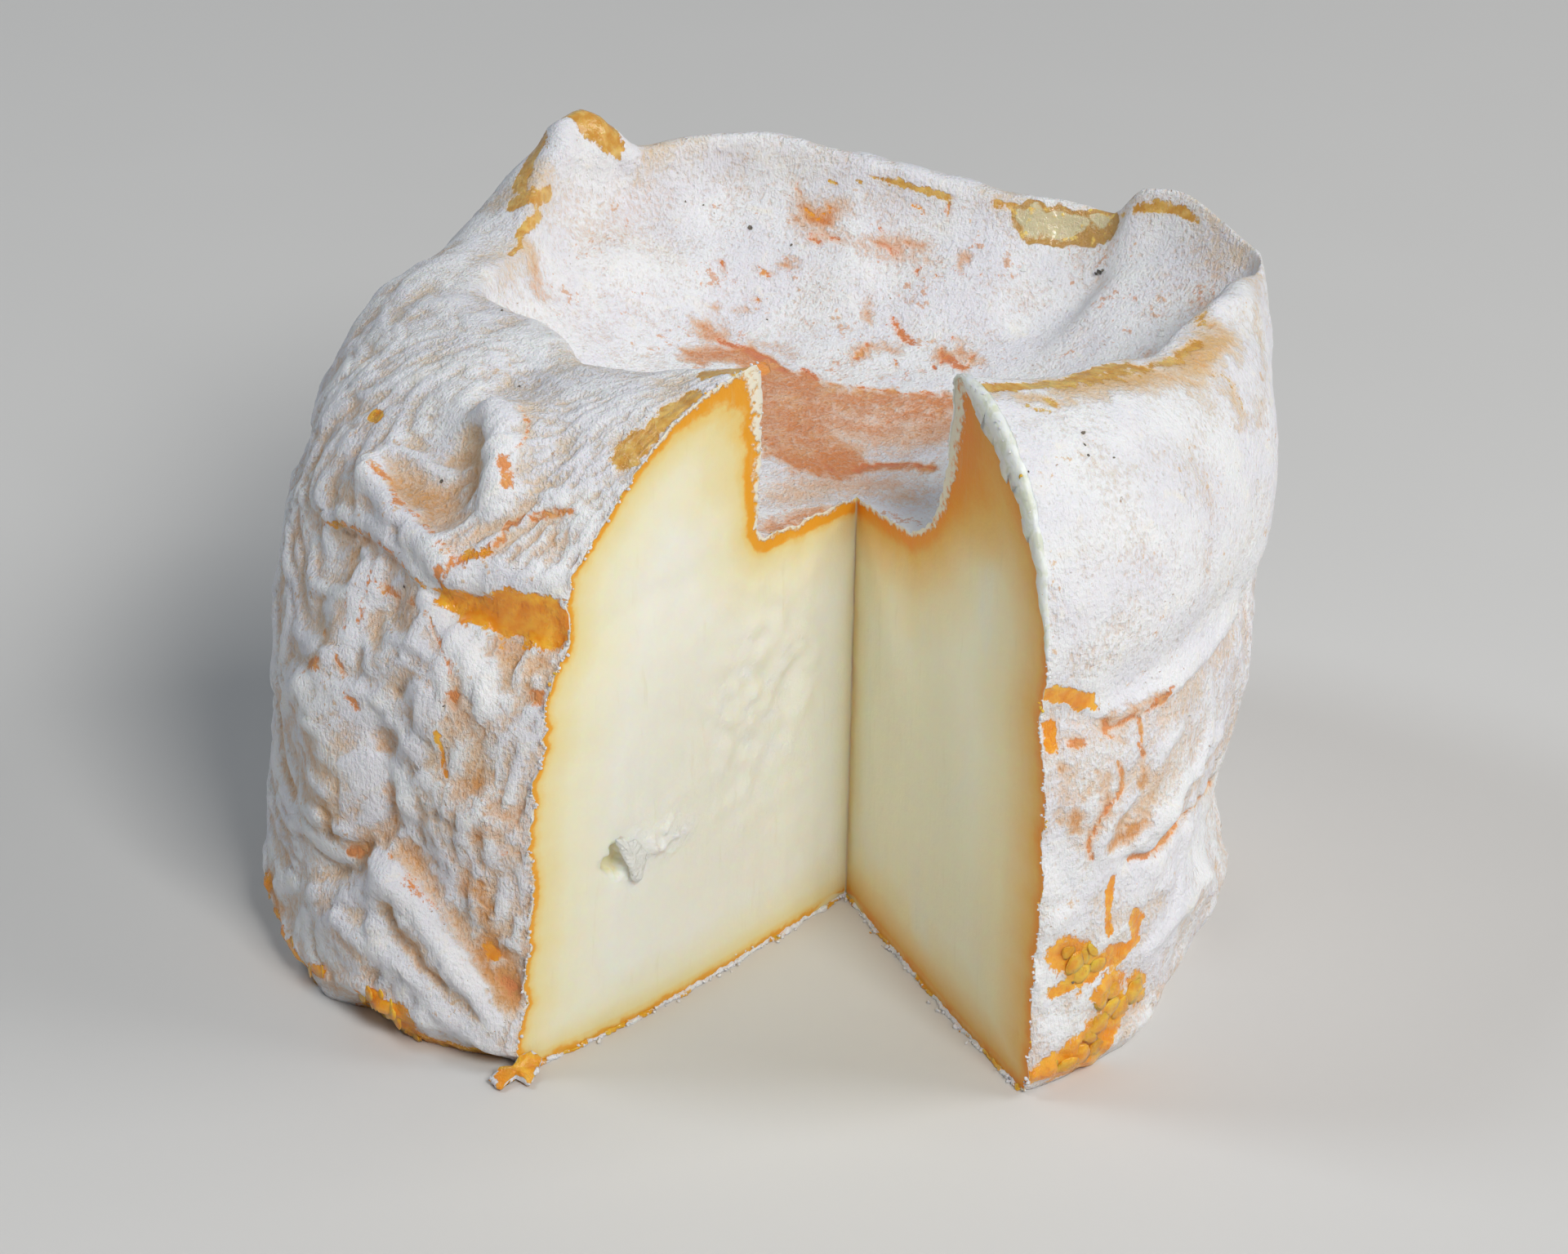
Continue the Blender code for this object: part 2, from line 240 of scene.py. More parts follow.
# The paste's depth under the rind, as its colour takes it, for the amber lines at the foot, under
# the hollow and under the left outer wall
FOOT_LINE = ((0, 0), (0.8, 0.3), (1.8, 2.0), (12, 18))
HOLLOW_LINE = ((0, 0), (1.2, 0.34), (1.8, 1.2), (12, 13))
LEFT_LINE = ((0, 0), (0.42, 0.34), (0.8, 0.8), (12, 12))
# The depth at the cut's inner edge, which keeps the paste golden along it, and how fast it grows away from
# the edge; and the depth that the torn hole's paste is cut to, which makes it yellower as painted shade in
# the hole.
INNER_EDGE_DEPTH, INNER_EDGE_FALL, HOLE_SHADE_DEPTH = 3.4, 2.2, 2.4
# Where the paste stays golden further in: (heights that this sets in between, share of the depth)
HOLLOW_GOLD, RIGHT_TIP_GOLD, LEFT_TIP_GOLD = (40.5, 46, 0.55), (40, 51, 0.75), (47, 53, 0.7)

# The rind's sides: the right one ends and the left one starts between these angles
RIGHT_END, LEFT_START = (96, 122), (238, 262)
# The ledge across the right wall: its distance down at an angle, its slope and its height
LEDGE_DOWN, LEDGE_ANGLE, LEDGE_SLOPE, LEDGE_HEIGHT = 26, 60, -0.09, 5

# The bloom on what isn't rind, and the width of a lip's steep front
ADDED_BLOOM, LIP_FRONT = 0.7, 0.35

# How far the foot is drawn in under a wavy bead: (angle, inset, height of the bead)
FOOT_TUCK = (
    (25.5, 0.5, 1.6),
    (45, 0.5, 2.0),
    (62, 1.2, 4.0),
    (78, 1.2, 4.0),
    (95, 2.8, 9.0),
    (104, 2.8, 9.0),
    (112, 1.8, 6.0),
    (180, 1.0, 2.6),
    (250, 1.2, 4.0),
    (264, 1.8, 10.0),
    (272, 2.2, 7.0),
    (280, 1.9, 5.0),
    (288, 1.0, 3.0),
    (292.5, 0.6, 2.6),
    (295, 1.6, 2.8),
    (297.5, 3.6, 3.6),
    (300, 4.4, 4.2),
    (302, 3.8, 4.0),
    (304, 1.8, 3.6),
    (311, 1.8, 3.0),
    (317.4, 0.8, 1.6),
)

# Where the wall stands in from the solid's: (angle, half-width, depth, heights that it goes between)
DENTS = (
    (102, 17, 0.9, 2, 12, 24),
    (266, 9, 0.6, 1, 14, 24),
)

# The narrow crevice at the cut's inner edge
CREVICE_DEPTH, CREVICE_WIDTH = 0.35, 0.4

# Relief drawn by pixels: name: (height, half-width, pixels). A lip is raised on the left of its
# line's direction, with a steep front.
RIDGES = {
    "upper fold": (0.8, 1.1, ((452, 563), (483, 604), (516, 640), (558, 684))),
    "upper fold valley": (-0.7, 1.9, ((488, 580), (520, 600), (550, 612), (577, 580), (582, 530))),
    "shoulder lump": (0.8, 1.4, ((603, 490), (612, 520), (615, 560), (610, 600))),
    "left strand": (0.5, 0.8, ((457, 668), (445, 704), (440, 744), (437, 788))),
    "right strand": (0.45, 0.6, ((478, 668), (462, 714), (456, 750), (458, 805))),
    "middle fold": (0.8, 1.0, ((530, 722), (556, 758), (575, 788), (590, 818), (602, 855))),
    "middle arc": (0.5, 0.7, ((483, 768), (509, 776), (534, 790), (547, 810), (551, 835), (547, 858))),
    "inner arc": (0.35, 0.6, ((503, 792), (522, 806), (526, 830), (518, 864))),
    "long arc": (0.5, 0.9, ((360, 845), (372, 822), (394, 812), (419, 822), (452, 830), (473, 849),
        (495, 877), (515, 908))),
    "bright lump": (0.6, 0.8, ((485, 927), (495, 949), (502, 976))),
    "oval's edge": (-0.6, 0.9, ((478, 890), (483, 945), (480, 990), (470, 1020), (440, 1028),
        (415, 1018), (400, 985))),
    "oval's left edge": (-0.4, 0.8, ((353, 925), (358, 945), (366, 962))),
    "lower fold": (1.0, 1.1, ((468, 1040), (495, 1075), (523, 1097), (541, 1128), (560, 1160),
        (590, 1200), (630, 1250))),
    "lower valley": (-0.8, 1.0, ((501, 1037), (523, 1070), (545, 1108), (567, 1141), (589, 1174),
        (620, 1220), (645, 1255))),
    "second valley": (-0.6, 0.9, ((473, 1100), (495, 1136), (517, 1169), (545, 1195), (580, 1232))),
    "second fold": (0.7, 1.2, ((463, 1120), (500, 1165), (540, 1215), (580, 1250), (615, 1280))),
    "third fold": (0.5, 1.0, ((419, 1108), (441, 1136), (463, 1152), (490, 1180))),
    "beaded foot": (0.3, 0.9, ((346, 1138), (360, 1165), (374, 1184))),
    "foot's cluster": (0.7, 0.8, ((474, 1223), (488, 1240), (492, 1262))),
    "foot's cluster, right": (0.6, 0.6, ((506, 1255), (512, 1272))),
    "round lump": (0.4, 1.6, ((604, 980), (606, 990))),
    "left peak": (2.0, 2.2, ((698, 162), (722, 162), (746, 170))),
    "amber shelf under the lobe": (0.9, 1.0, ((585, 748), (620, 758), (660, 766), (700, 770))),
    "right vein crease": (-0.5, 0.6, ((1380, 1037), (1412, 1030), (1426, 1016), (1441, 994),
        (1476, 948))),
    "right broad fold": (0.7, 1.5, ((1482, 880), (1455, 930), (1430, 975), (1400, 1015))),
    "right oval": (0.35, 0.5, ((1342, 1036), (1375, 1030), (1398, 1006), (1408, 976))),
    "right inner fold": (0.35, 0.8, ((1385, 960), (1360, 990), (1345, 1015))),
    "right low fold": (0.5, 1.0, ((1470, 1060), (1440, 1100), (1400, 1150))),
    "right upper fold": (0.35, 0.7, ((1440, 875), (1415, 905), (1400, 930))),
}
LIPS = {
    "upper fold's edge": (0.8, 1.6, ((401, 600), (410, 625), (437, 630), (463, 640), (488, 660),
        (509, 683), (524, 699), (552, 708))),
    "flap lobe": (0.55, 1.8, ((562, 700), (588, 708), (636, 712), (674, 702), (700, 696))),
    "right ledge": (0.6, 2.4, ((1330, 858), (1360, 866), (1400, 852), (1440, 822), (1470, 790),
        (1500, 745))),
}

# Colour drawn by pixels: name: (strength, half-width, pixels). Cracks show the red-orange skin,
# amber marks are bare glossy rind, and peach ones have a thin bloom; the peach mark on the
# hollow's floor is partly painted shade.
CRACKS = {
    "over the upper fold": (0.9, 0.28, ((463, 558), (480, 574), (493, 604), (514, 617), (534, 640),
        (547, 658), (560, 666))),
    "over the lobe": (1.0, 0.37, ((556, 719), (560, 684), (580, 670), (600, 663), (616, 650),
        (628, 632), (649, 622), (704, 616))),
    "shoulder spots": (1.0, 0.43, ((623, 556), (627, 582))),
    "shoulder line": (0.7, 0.22, ((634, 543), (645, 530), (652, 510), (640, 487))),
    "between the strands": (0.7, 0.25, ((470, 676), (460, 712), (449, 752))),
    "left of the strands": (0.6, 0.25, ((435, 668), (431, 715), (430, 762))),
    "wedge": (0.9, 0.31, ((404, 762), (417, 790), (430, 814))),
    "left patch": (1.0, 0.56, ((388, 801), (396, 799))),
    "blob": (1.0, 0.56, ((480, 708), (490, 716))),
    "small blob": (1.0, 0.37, ((507, 724), (512, 726))),
    "beside the middle fold": (0.8, 0.25, ((527, 738), (544, 772), (558, 802), (565, 834), (561, 856))),
    "end of the middle fold": (1.0, 0.37, ((562, 838), (560, 852))),
    "arc's patch": (0.9, 0.5, ((437, 843), (443, 852))),
    "under the oval": (1.0, 0.43, ((432, 1034), (465, 1036))),
    "along the lower fold": (0.8, 0.22, ((482, 1030), (506, 1068), (534, 1097))),
    "near the cut": (0.8, 0.22, ((608, 1030), (646, 1034))),
    "near the cut, low": (0.5, 0.22, ((575, 1070), (600, 1098))),
    "peeled edge": (0.8, 0.2, ((651, 765), (657, 790), (682, 803))),
    "at the cut": (0.9, 0.56, ((662, 838), (668, 846))),
    "low at the cut": (0.9, 0.62, ((622, 1188), (628, 1196))),
    "crater": (0.9, 0.37, ((462, 497), (465, 500))),
    "foot": (0.9, 0.37, ((511, 1262), (513, 1278))),
    "under the ledge": (1.1, 0.4, ((1426, 830), (1418, 842), (1404, 850), (1397, 856))),
    "under the ledge, left": (0.9, 0.3, ((1345, 868), (1351, 878), (1364, 873), (1380, 864))),
    "below the ledge": (0.6, 0.2, ((1345, 882), (1358, 891), (1369, 892), (1367, 902))),
    "orange spot": (0.95, 0.4, ((1308, 896), (1319, 897))),
    "upper vein": (1.0, 0.28, ((1390, 868), (1393, 885), (1391, 900), (1396, 914))),
    "beside the upper vein": (0.55, 0.18, ((1397, 880), (1416, 872), (1436, 860))),
    "long vein": (0.95, 0.3, ((1366, 922), (1370, 936), (1370, 952), (1360, 968), (1349, 980),
        (1341, 994))),
    "long vein's end": (0.85, 0.3, ((1341, 994), (1334, 1006), (1328, 1020), (1332, 1038))),
    "slanted vein": (1.0, 0.33, ((1380, 1038), (1400, 1034), (1416, 1026), (1428, 1014), (1440, 998))),
    "slanted vein's end": (0.8, 0.28, ((1440, 998), (1449, 984), (1458, 974), (1478, 946))),
    "vein's side": (0.6, 0.2, ((1414, 1028), (1412, 1044))),
    "band, left": (1.0, 0.45, ((884, 406), (905, 414), (925, 422), (945, 433), (958, 443))),
    "band, middle": (0.9, 0.35, ((985, 440), (1000, 453), (1020, 459), (1045, 463))),
    "band, right": (0.9, 0.35, ((1045, 463), (1080, 467), (1110, 470), (1150, 471))),
    "floor's edge": (1.0, 0.32, ((1045, 560), (1080, 557), (1110, 558), (1140, 562))),
    "floor's spots": (0.8, 0.3, ((1010, 556), (1018, 566), (1048, 566), (1055, 562))),
    "back wall's line": (0.8, 0.16, ((990, 284), (1010, 284), (1030, 289), (1055, 292))),
    "back wall's upper line": (0.6, 0.16, ((985, 271), (1010, 276), (1030, 284))),
    "back wall, upper right": (0.55, 0.25, ((1072, 285), (1092, 290), (1112, 288))),
    "back wall, lower right": (0.55, 0.25, ((1078, 304), (1096, 300), (1114, 303))),
    "back wall's spot": (0.9, 0.3, ((1120, 323), (1129, 312))),
    "back wall, far spot": (0.8, 0.22, ((1144, 324), (1150, 330))),
    "long dash": (0.9, 0.25, ((922, 312), (932, 322), (950, 327))),
    "short dash": (1.0, 0.2, ((885, 308), (889, 319))),
    "round dash": (0.9, 0.28, ((920, 354), (928, 357))),
    "high crack": (0.9, 0.15, ((968, 229), (978, 223), (977, 214))),
    "high crack, right": (0.8, 0.15, ((1065, 219), (1076, 222))),
    "below the high crack": (0.7, 0.15, ((1074, 272), (1081, 266))),
    "far high crack": (0.8, 0.18, ((1163, 238), (1156, 252))),
    "tree": (1.0, 0.42, ((1092, 382), (1100, 392), (1104, 402), (1115, 407))),
    "left of the tree": (0.95, 0.32, ((1062, 410), (1056, 420), (1046, 430))),
    "under the tree": (0.7, 0.2, ((1096, 432), (1098, 440))),
    "right of the tree": (1.0, 0.42, ((1160, 426), (1168, 437), (1182, 441))),
    "right of the tree, upper": (0.7, 0.28, ((1166, 403), (1156, 412), (1150, 420))),
    "right of the tree, line": (0.8, 0.2, ((1118, 444), (1138, 441), (1152, 434))),
    "far right of the tree": (0.8, 0.26, ((1191, 424), (1185, 436))),
    "hollow's thin line": (0.6, 0.18, ((984, 378), (990, 388), (996, 398))),
}
AMBER = {
    "band under the lobe": (1.6, 1.1, ((566, 724), (590, 735), (620, 743), (650, 747))),
    "band's wide end": (1.7, 1.7, ((630, 743), (670, 748), (705, 748))),
    "fold's edge": (0.75, 0.4, ((405, 628), (437, 632), (463, 642), (488, 662), (524, 700),
        (550, 708))),
    "over the lobe": (0.9, 0.6, ((580, 669), (602, 664))),
    "narrow crack": (0.9, 0.35, ((539, 886), (543, 905), (548, 930), (552, 938))),
    "low spot": (0.9, 0.7, ((603, 1148), (607, 1156))),
    "beaded foot": (1.0, 0.8, ((333, 1065), (336, 1095), (345, 1138), (358, 1163), (373, 1184))),
    "foot's patch": (0.9, 0.7, ((385, 1172), (398, 1177))),
    "foot's chunk": (0.9, 0.5, ((446, 1202), (457, 1218))),
    "foot's cluster": (1.3, 1.0, ((468, 1216), (486, 1236), (500, 1252))),
    "foot's cluster, right": (1.3, 1.0, ((494, 1230), (508, 1246), (514, 1262))),
    "foot's cluster, low": (1.3, 0.9, ((484, 1256), (496, 1268), (510, 1272))),
    "cut's top, low": (1.3, 1.0, ((768, 548), (784, 530))),
    "cut's top": (1.2, 0.8, ((796, 518), (820, 494), (846, 474))),
    "cut's tip": (1.2, 0.7, ((864, 446), (880, 443), (905, 440), (930, 438))),
    "ledge": (1.2, 0.7, ((1281, 838), (1305, 841), (1325, 845))),
    "ledge's end": (0.9, 0.35, ((1325, 845), (1334, 854))),
    "right edge": (1.1, 0.6, ((1282, 878), (1284, 900))),
    "low vein": (1.2, 0.42, ((1358, 1064), (1354, 1085), (1352, 1108), (1355, 1128))),
    "low branch": (1.2, 0.5, ((1384, 1112), (1389, 1124), (1386, 1140), (1372, 1150), (1356, 1150))),
    "under the low branch": (1.2, 0.8, ((1370, 1154), (1352, 1160), (1338, 1172))),
    "spot on the branch": (1.0, 0.5, ((1386, 1105), (1392, 1112))),
    "low cluster": (1.3, 1.4, ((1300, 1154), (1316, 1162), (1322, 1178))),
    "low cluster's tail": (0.9, 0.55, ((1284, 1206), (1306, 1194), (1326, 1180))),
    "low blob": (1.2, 0.9, ((1386, 1186), (1389, 1204))),
    "low right, top": (1.3, 1.4, ((1352, 1200), (1362, 1224))),
    "low right": (1.3, 1.7, ((1358, 1228), (1338, 1250), (1322, 1272), (1306, 1290))),
    "low right, foot": (1.3, 1.2, ((1344, 1272), (1322, 1298))),
    "low right corner": (1.2, 0.8, ((1264, 1304), (1285, 1292), (1310, 1276))),
    "near rim": (1.1, 0.6, ((1192, 463), (1220, 462), (1255, 461), (1285, 459), (1305, 456))),
    "near rim's rise": (1.0, 0.8, ((1305, 456), (1318, 450), (1334, 443), (1350, 438), (1372, 436))),
    "near rim's wide end": (0.8, 1.2, ((1326, 452), (1350, 447), (1376, 443))),
    "under the near rim": (0.66, 0.7, ((1283, 474), (1288, 484))),
    "beside it": (0.6, 0.6, ((1256, 486), (1275, 491))),
    "far along the near rim": (0.72, 0.9, ((1385, 441), (1420, 434), (1440, 424), (1462, 408))),
    "rim, beside the bump": (0.6, 0.7, ((1470, 372), (1462, 388))),
    "rim, down the side": (0.55, 0.6, ((1478, 446), (1500, 452), (1506, 470))),
    "low rim spot": (0.7, 0.4, ((1513, 478), (1516, 488))),
    "back rim": (0.9, 0.4, ((1214, 238), (1271, 248), (1319, 253), (1348, 254), (1373, 252))),
    "rim's first spot": (0.9, 0.35, ((1014, 206), (1021, 215))),
    "rim's second spot": (0.9, 0.38, ((1049, 210), (1060, 207), (1078, 210))),
    "rim's third spot": (0.9, 0.35, ((1090, 212), (1102, 210))),
    "rim's fourth spot": (0.9, 0.35, ((1106, 217), (1122, 220))),
    "rim's fifth spot": (1.0, 0.42, ((1134, 222), (1150, 228), (1166, 233))),
    "rim's sixth spot": (0.9, 0.35, ((1112, 243), (1120, 237))),
    "rim's seventh spot": (0.8, 0.25, ((1126, 247), (1138, 251))),
    "back wall": (0.6, 0.7, ((1000, 252), (1008, 255), (1016, 244))),
    "back wall's tail": (0.6, 0.35, ((974, 246), (988, 247))),
    "back peak": (1.0, 0.55, ((1388, 245), (1412, 241), (1440, 247), (1458, 257))),
    "left peak": (1.2, 0.9, ((664, 170), (688, 150), (712, 146), (736, 154), (752, 166))),
    "left peak's side": (1.1, 0.8, ((642, 214), (652, 190), (668, 170))),
    "second finger": (1.2, 0.65, ((634, 238), (655, 233), (674, 225))),
    "third finger": (1.1, 0.55, ((642, 272), (652, 264), (664, 254))),
    "lower finger": (0.8, 0.35, ((628, 300), (640, 290))),
    "shoulder spot": (1.1, 0.6, ((462, 496), (466, 500))),
}
# Wide places where the bloom is thin over orange skin; the marks on the hollow's floor are partly
# painted shade of that floor.
STAINS_AND_SHADE = {
    "hollow's band": (1.3, 1.2, ((862, 424), (905, 424), (930, 434), (952, 448), (975, 458),
        (1000, 466))),
    "hollow's band, on": (1.3, 1.2, ((1000, 466), (1030, 474), (1060, 476), (1100, 481), (1150, 483))),
    "hollow's band, left": (1.3, 1.8, ((948, 462), (970, 472), (1000, 476))),
    "hollow's band, right": (0.62, 2.4, ((1040, 492), (1100, 498), (1150, 500))),
    "hollow's foot, left": (1.5, 2.4, ((942, 500), (962, 516), (982, 532), (1010, 548))),
    # The hollow's foot and the floor's middle are partly orange stain and partly painted shade on the shaded
    # floor.
    "hollow's foot": (0.6, 4.0, ((970, 500), (1060, 514), (1140, 518))),
    "floor line": (0.95, 0.5, ((990, 549), (1015, 557), (1045, 562), (1080, 559), (1140, 562))),
    "floor, middle": (0.38, 2.6, ((960, 600), (1010, 588), (1060, 582), (1110, 596))),
    "hollow's pink wall": (0.22, 2.4, ((830, 380), (880, 396), (960, 396))),
    "under the peak": (0.5, 1.2, ((655, 300), (662, 340))),
    "floor, by the cut": (0.6, 1.6, ((945, 634), (975, 627), (1005, 614))),
    "near rim": (0.66, 1.9, ((1300, 466), (1330, 460), (1370, 454), (1425, 446), (1465, 430),
        (1495, 402))),
    "near rim, left": (0.5, 1.0, ((1215, 470), (1250, 476), (1290, 478))),
    "near rim, down the side": (0.5, 1.2, ((1478, 446), (1502, 470), (1512, 500))),
    "high on the right": (0.36, 1.8, ((1490, 262), (1516, 300), (1532, 350), (1540, 420), (1536, 500))),
    "beige cloud": (0.28, 3.4, ((1340, 560), (1380, 600), (1330, 640))),
    "beige cloud, right": (0.28, 2.6, ((1450, 540), (1480, 620), (1470, 700))),
    "back wall": (0.5, 0.8, ((1060, 285), (1095, 288), (1126, 292))),
    "back wall, low": (0.4, 0.8, ((1076, 306), (1096, 302), (1124, 310))),
    "back wall, high": (0.56, 1.3, ((990, 250), (1008, 256), (1022, 244))),
    "tan by the cut": (0.36, 1.4, ((1304, 940), (1310, 985), (1318, 1010))),
    "tan by the vein": (0.44, 1.2, ((1350, 940), (1352, 985), (1380, 1020))),
    "tan by the long vein": (0.4, 1.3, ((1420, 930), (1400, 970), (1392, 1000))),
    "back wall, across": (0.36, 1.6, ((985, 272), (1040, 282), (1090, 300), (1140, 312))),
    "back wall, far": (0.6, 0.7, ((1175, 312), (1183, 300))),
    "above the left cut": (0.6, 1.2, ((862, 388), (880, 400))),
    "round the tree": (0.5, 0.9, ((1046, 426), (1064, 412), (1096, 418))),
    "right of the tree": (0.6, 1.1, ((1150, 424), (1170, 420), (1186, 428))),
    "hollow's dots": (0.4, 1.2, ((928, 408), (950, 416), (968, 424))),
    "hollow's faint spot": (0.5, 0.5, ((1060, 356), (1062, 380))),
    "hollow's pink spot": (0.5, 0.45, ((1117, 356), (1120, 352))),
    "left faint spot": (0.5, 0.5, ((905, 367), (918, 368))),
    "far left faint spot": (0.5, 0.45, ((860, 362), (878, 362))),
    "second dash": (0.6, 0.5, ((960, 313), (972, 311))),
    "peach by the cut": (0.62, 1.2, ((588, 1080), (600, 1120), (606, 1150))),
    "round by the cut": (0.5, 1.5, ((600, 960), (612, 985), (600, 1005))),
    "low by the cut": (0.9, 0.9, ((614, 1180), (628, 1196))),
    "left silhouette": (0.6, 1.0, ((338, 1060), (345, 1090))),
    "right wall": (0.85, 0.65, ((1352, 1026), (1368, 1012), (1388, 1000))),
    "right wall's end": (0.6, 0.4, ((1388, 1000), (1404, 984))),
    "right wall's spot": (0.95, 0.75, ((1311, 988), (1312, 1002))),
    "beside the vein": (0.8, 0.5, ((1398, 932), (1392, 950))),
    "left of the vein": (0.6, 0.4, ((1341, 930), (1332, 950), (1324, 968))),
    "by the cut": (0.5, 0.5, ((1297, 932), (1307, 930))),
    "ledge's pink": (0.75, 0.6, ((1350, 866), (1375, 856), (1400, 846), (1416, 836))),
}
PEACH_AND_SHADE = {
    "below the fold's edge": (0.8, 0.8, ((456, 652), (439, 672), (441, 698))),
    "near the cut": (0.5, 1.2, ((633, 798), (640, 808))),
    "low, near the cut": (0.3, 1.6, ((578, 1065), (594, 1119), (608, 1150))),
    "round lump": (0.4, 2.2, ((590, 960), (610, 990))),
    "above the fold's edge": (0.7, 1.0, ((404, 600), (420, 590), (440, 600))),
    "rim": (0.8, 0.8, ((1373, 430), (1405, 423), (1453, 423), (1485, 406))),
    "rim's patch": (0.6, 1.0, ((1466, 478), (1475, 484))),
    "beside the bump": (0.8, 0.9, ((1470, 360), (1464, 376))),
    "rim's pocket": (0.8, 1.3, ((1478, 303), (1488, 320), (1504, 308))),
    "hollow, high": (0.6, 1.2, ((993, 248), (1008, 255))),
    # The floor's peach mark is partly thin bloom and partly painted shade on the shaded floor.
    "floor": (0.6, 3.0, ((980, 580), (1040, 575), (1110, 590))),
    "right silhouette": (0.7, 0.5, ((1464, 1074), (1460, 1092))),
    "right, under the vein": (0.4, 0.7, ((1414, 1078), (1418, 1098))),
    "right foot": (0.6, 0.6, ((1440, 1160), (1430, 1180), (1412, 1206))),
    "right, low": (0.6, 0.5, ((1382, 1106), (1387, 1112))),
}
# Places where the bloom is thick and white
THICK = {
    "lobe": (1.0, 1.5, ((590, 692), (620, 706), (656, 704), (690, 690))),
    "middle fold": (1.0, 1.0, ((548, 742), (566, 770), (586, 806), (600, 840))),
    "left strand": (0.8, 0.8, ((455, 672), (445, 712), (442, 750))),
    "long arc": (0.8, 1.2, ((380, 830), (420, 832), (460, 852), (486, 880))),
    "bright lump": (1.0, 1.0, ((488, 930), (498, 952), (500, 974))),
    "under the vein": (1.0, 1.8, ((1350, 1052), (1400, 1056), (1440, 1040), (1466, 1016))),
    "beside the cut": (0.8, 1.3, ((1296, 1020), (1306, 1070), (1310, 1120))),
    "low by the cut": (0.8, 1.0, ((1282, 1150), (1278, 1200), (1286, 1240))),
    "right, low": (0.8, 1.6, ((1450, 1000), (1440, 1080), (1420, 1130))),
    "lower fold": (0.8, 1.2, ((470, 1050), (510, 1095), (545, 1140), (575, 1190))),
    "by the tip": (1.0, 0.9, ((876, 470), (896, 462))),
    "low on the left": (0.8, 1.5, ((490, 1170), (520, 1205), (550, 1240))),
}
# The left face's torn hole and the rough curd beside it: (pixel, half-sizes across and up)
HOLE = ((758, 1040), (1.3, 1.7))
TORN_FLAP = ((778, 1036), (0.9, 1.8))
ROUGH_CURD = ((822, 1010), (2.6, 1.6))
RUFFLED = ((930, 850), (7.0, 9.0))
CHIP = {"rim's chip": (1.0, 1.5, ((1262, 258), (1300, 268), (1345, 258)))}

# Small things by pixels
FACE_FLAP = (
    (744, 1010), (759, 1011), (762, 1017), (777, 1012), (789, 1027), (790, 1045), (786, 1056),
    (779, 1066), (770, 1061), (765, 1047), (757, 1032), (751, 1022),
)
FOOT_FLAP = (
    (640, 1284), (656, 1277), (667, 1284), (666, 1295), (660, 1307), (651, 1318), (642, 1313),
    (636, 1309), (628, 1313), (616, 1323), (607, 1318), (602, 1311), (610, 1304), (615, 1297),
    (630, 1296),
)
FOOT_FLAP_HEIGHTS = (1.2, 1.5, 1.0, 0.5, 0.3, 0.2, 0.2, 0.2, 0.2, 0.2, 0.2, 0.3, 0.5, 0.8, 1.0)
BEADS = (
    ((448, 1206), 0.6), ((456, 1203), 0.5), ((462, 1212), 0.7), ((470, 1206), 0.5), ((470, 1222), 0.8),
    ((481, 1218), 0.6), ((479, 1232), 0.8), ((490, 1232), 0.7), ((484, 1244), 0.8), ((497, 1240), 0.6),
    ((484, 1256), 0.7), ((492, 1264), 0.8), ((503, 1262), 0.7), ((512, 1270), 0.7), ((335, 1082), 0.5),
    ((338, 1104), 0.6), ((343, 1128), 0.5), ((350, 1148), 0.6), ((360, 1166), 0.6), ((400, 1176), 0.5),
    ((386, 1174), 0.6), ((1304, 1154), 0.6), ((1312, 1166), 0.8), ((1322, 1160), 0.5),
    ((1320, 1180), 0.7), ((1334, 1150), 0.5), ((1340, 1168), 0.6), ((1345, 1208), 0.7),
    ((1358, 1200), 0.8), ((1352, 1226), 0.9), ((1366, 1222), 0.7), ((1340, 1240), 0.8),
    ((1328, 1256), 0.7), ((1336, 1270), 0.6), ((1318, 1278), 0.8), ((1304, 1290), 0.7),
    ((1284, 1292), 0.6), ((1388, 1184), 0.5), ((1384, 1200), 0.7), ((1392, 1206), 0.5),
)
PALE_CRUMBS = (
    ((361, 1054), 0.4), ((367, 1064), 0.45), ((372, 1071), 0.3), ((356, 1120), 0.3), ((1417, 398), 0.3),
    ((1250, 318), 0.3), ((1284, 332), 0.2), ((884, 492), 0.25), ((784, 574), 0.25),
)
SPECKS = (
    ((619, 370), 0.16), ((583, 386), 0.13), ((640, 462), 0.18), ((545, 578), 0.17), ((1338, 324), 0.18),
    ((1342, 322), 0.2), ((1346, 320), 0.15), ((1322, 519), 0.2), ((1325, 533), 0.14),
    ((1256, 566), 0.13), ((1329, 546), 0.12), ((1360, 549), 0.13), ((841, 236), 0.12),
    ((863, 240), 0.12), ((920, 268), 0.22), ((969, 289), 0.14), ((940, 380), 0.12),
    ((1411, 1018), 0.16), ((1277, 1107), 0.16), ((548, 852), 0.13), ((1310, 1190), 0.14),
    ((455, 640), 0.12), ((500, 706), 0.12),
)
# The smear's widths in millimetres: (down, on the cut face, on the rind)
SMEAR = (
    (-8.0, 0.04, 0.1),
    (-4.0, 0.1, 0.4),
    (-0.5, 0.16, 0.8),
    (1.5, 0.6, 1.1),
    (3.5, 1.8, 1.1),
    (6.5, 2.9, 0.9),
    (10.0, 2.9, 0.8),
    (14.0, 2.3, 0.7),
    (19.0, 1.3, 0.5),
    (24.0, 0.5, 0.3),
    (27.0, 0.1, 0.1),
)
# The columns beside the cut that the smear can reach over
SMEAR_COLUMNS = 16
# A sheet's rings from its upper middle over its rim to its lower middle: (share, rise)
SHEET_RINGS = ((0.3, 1.0), (0.7, 0.95), (0.93, 0.8), (1.0, 0.3), (0.93, 0.0), (0.5, 0.0))


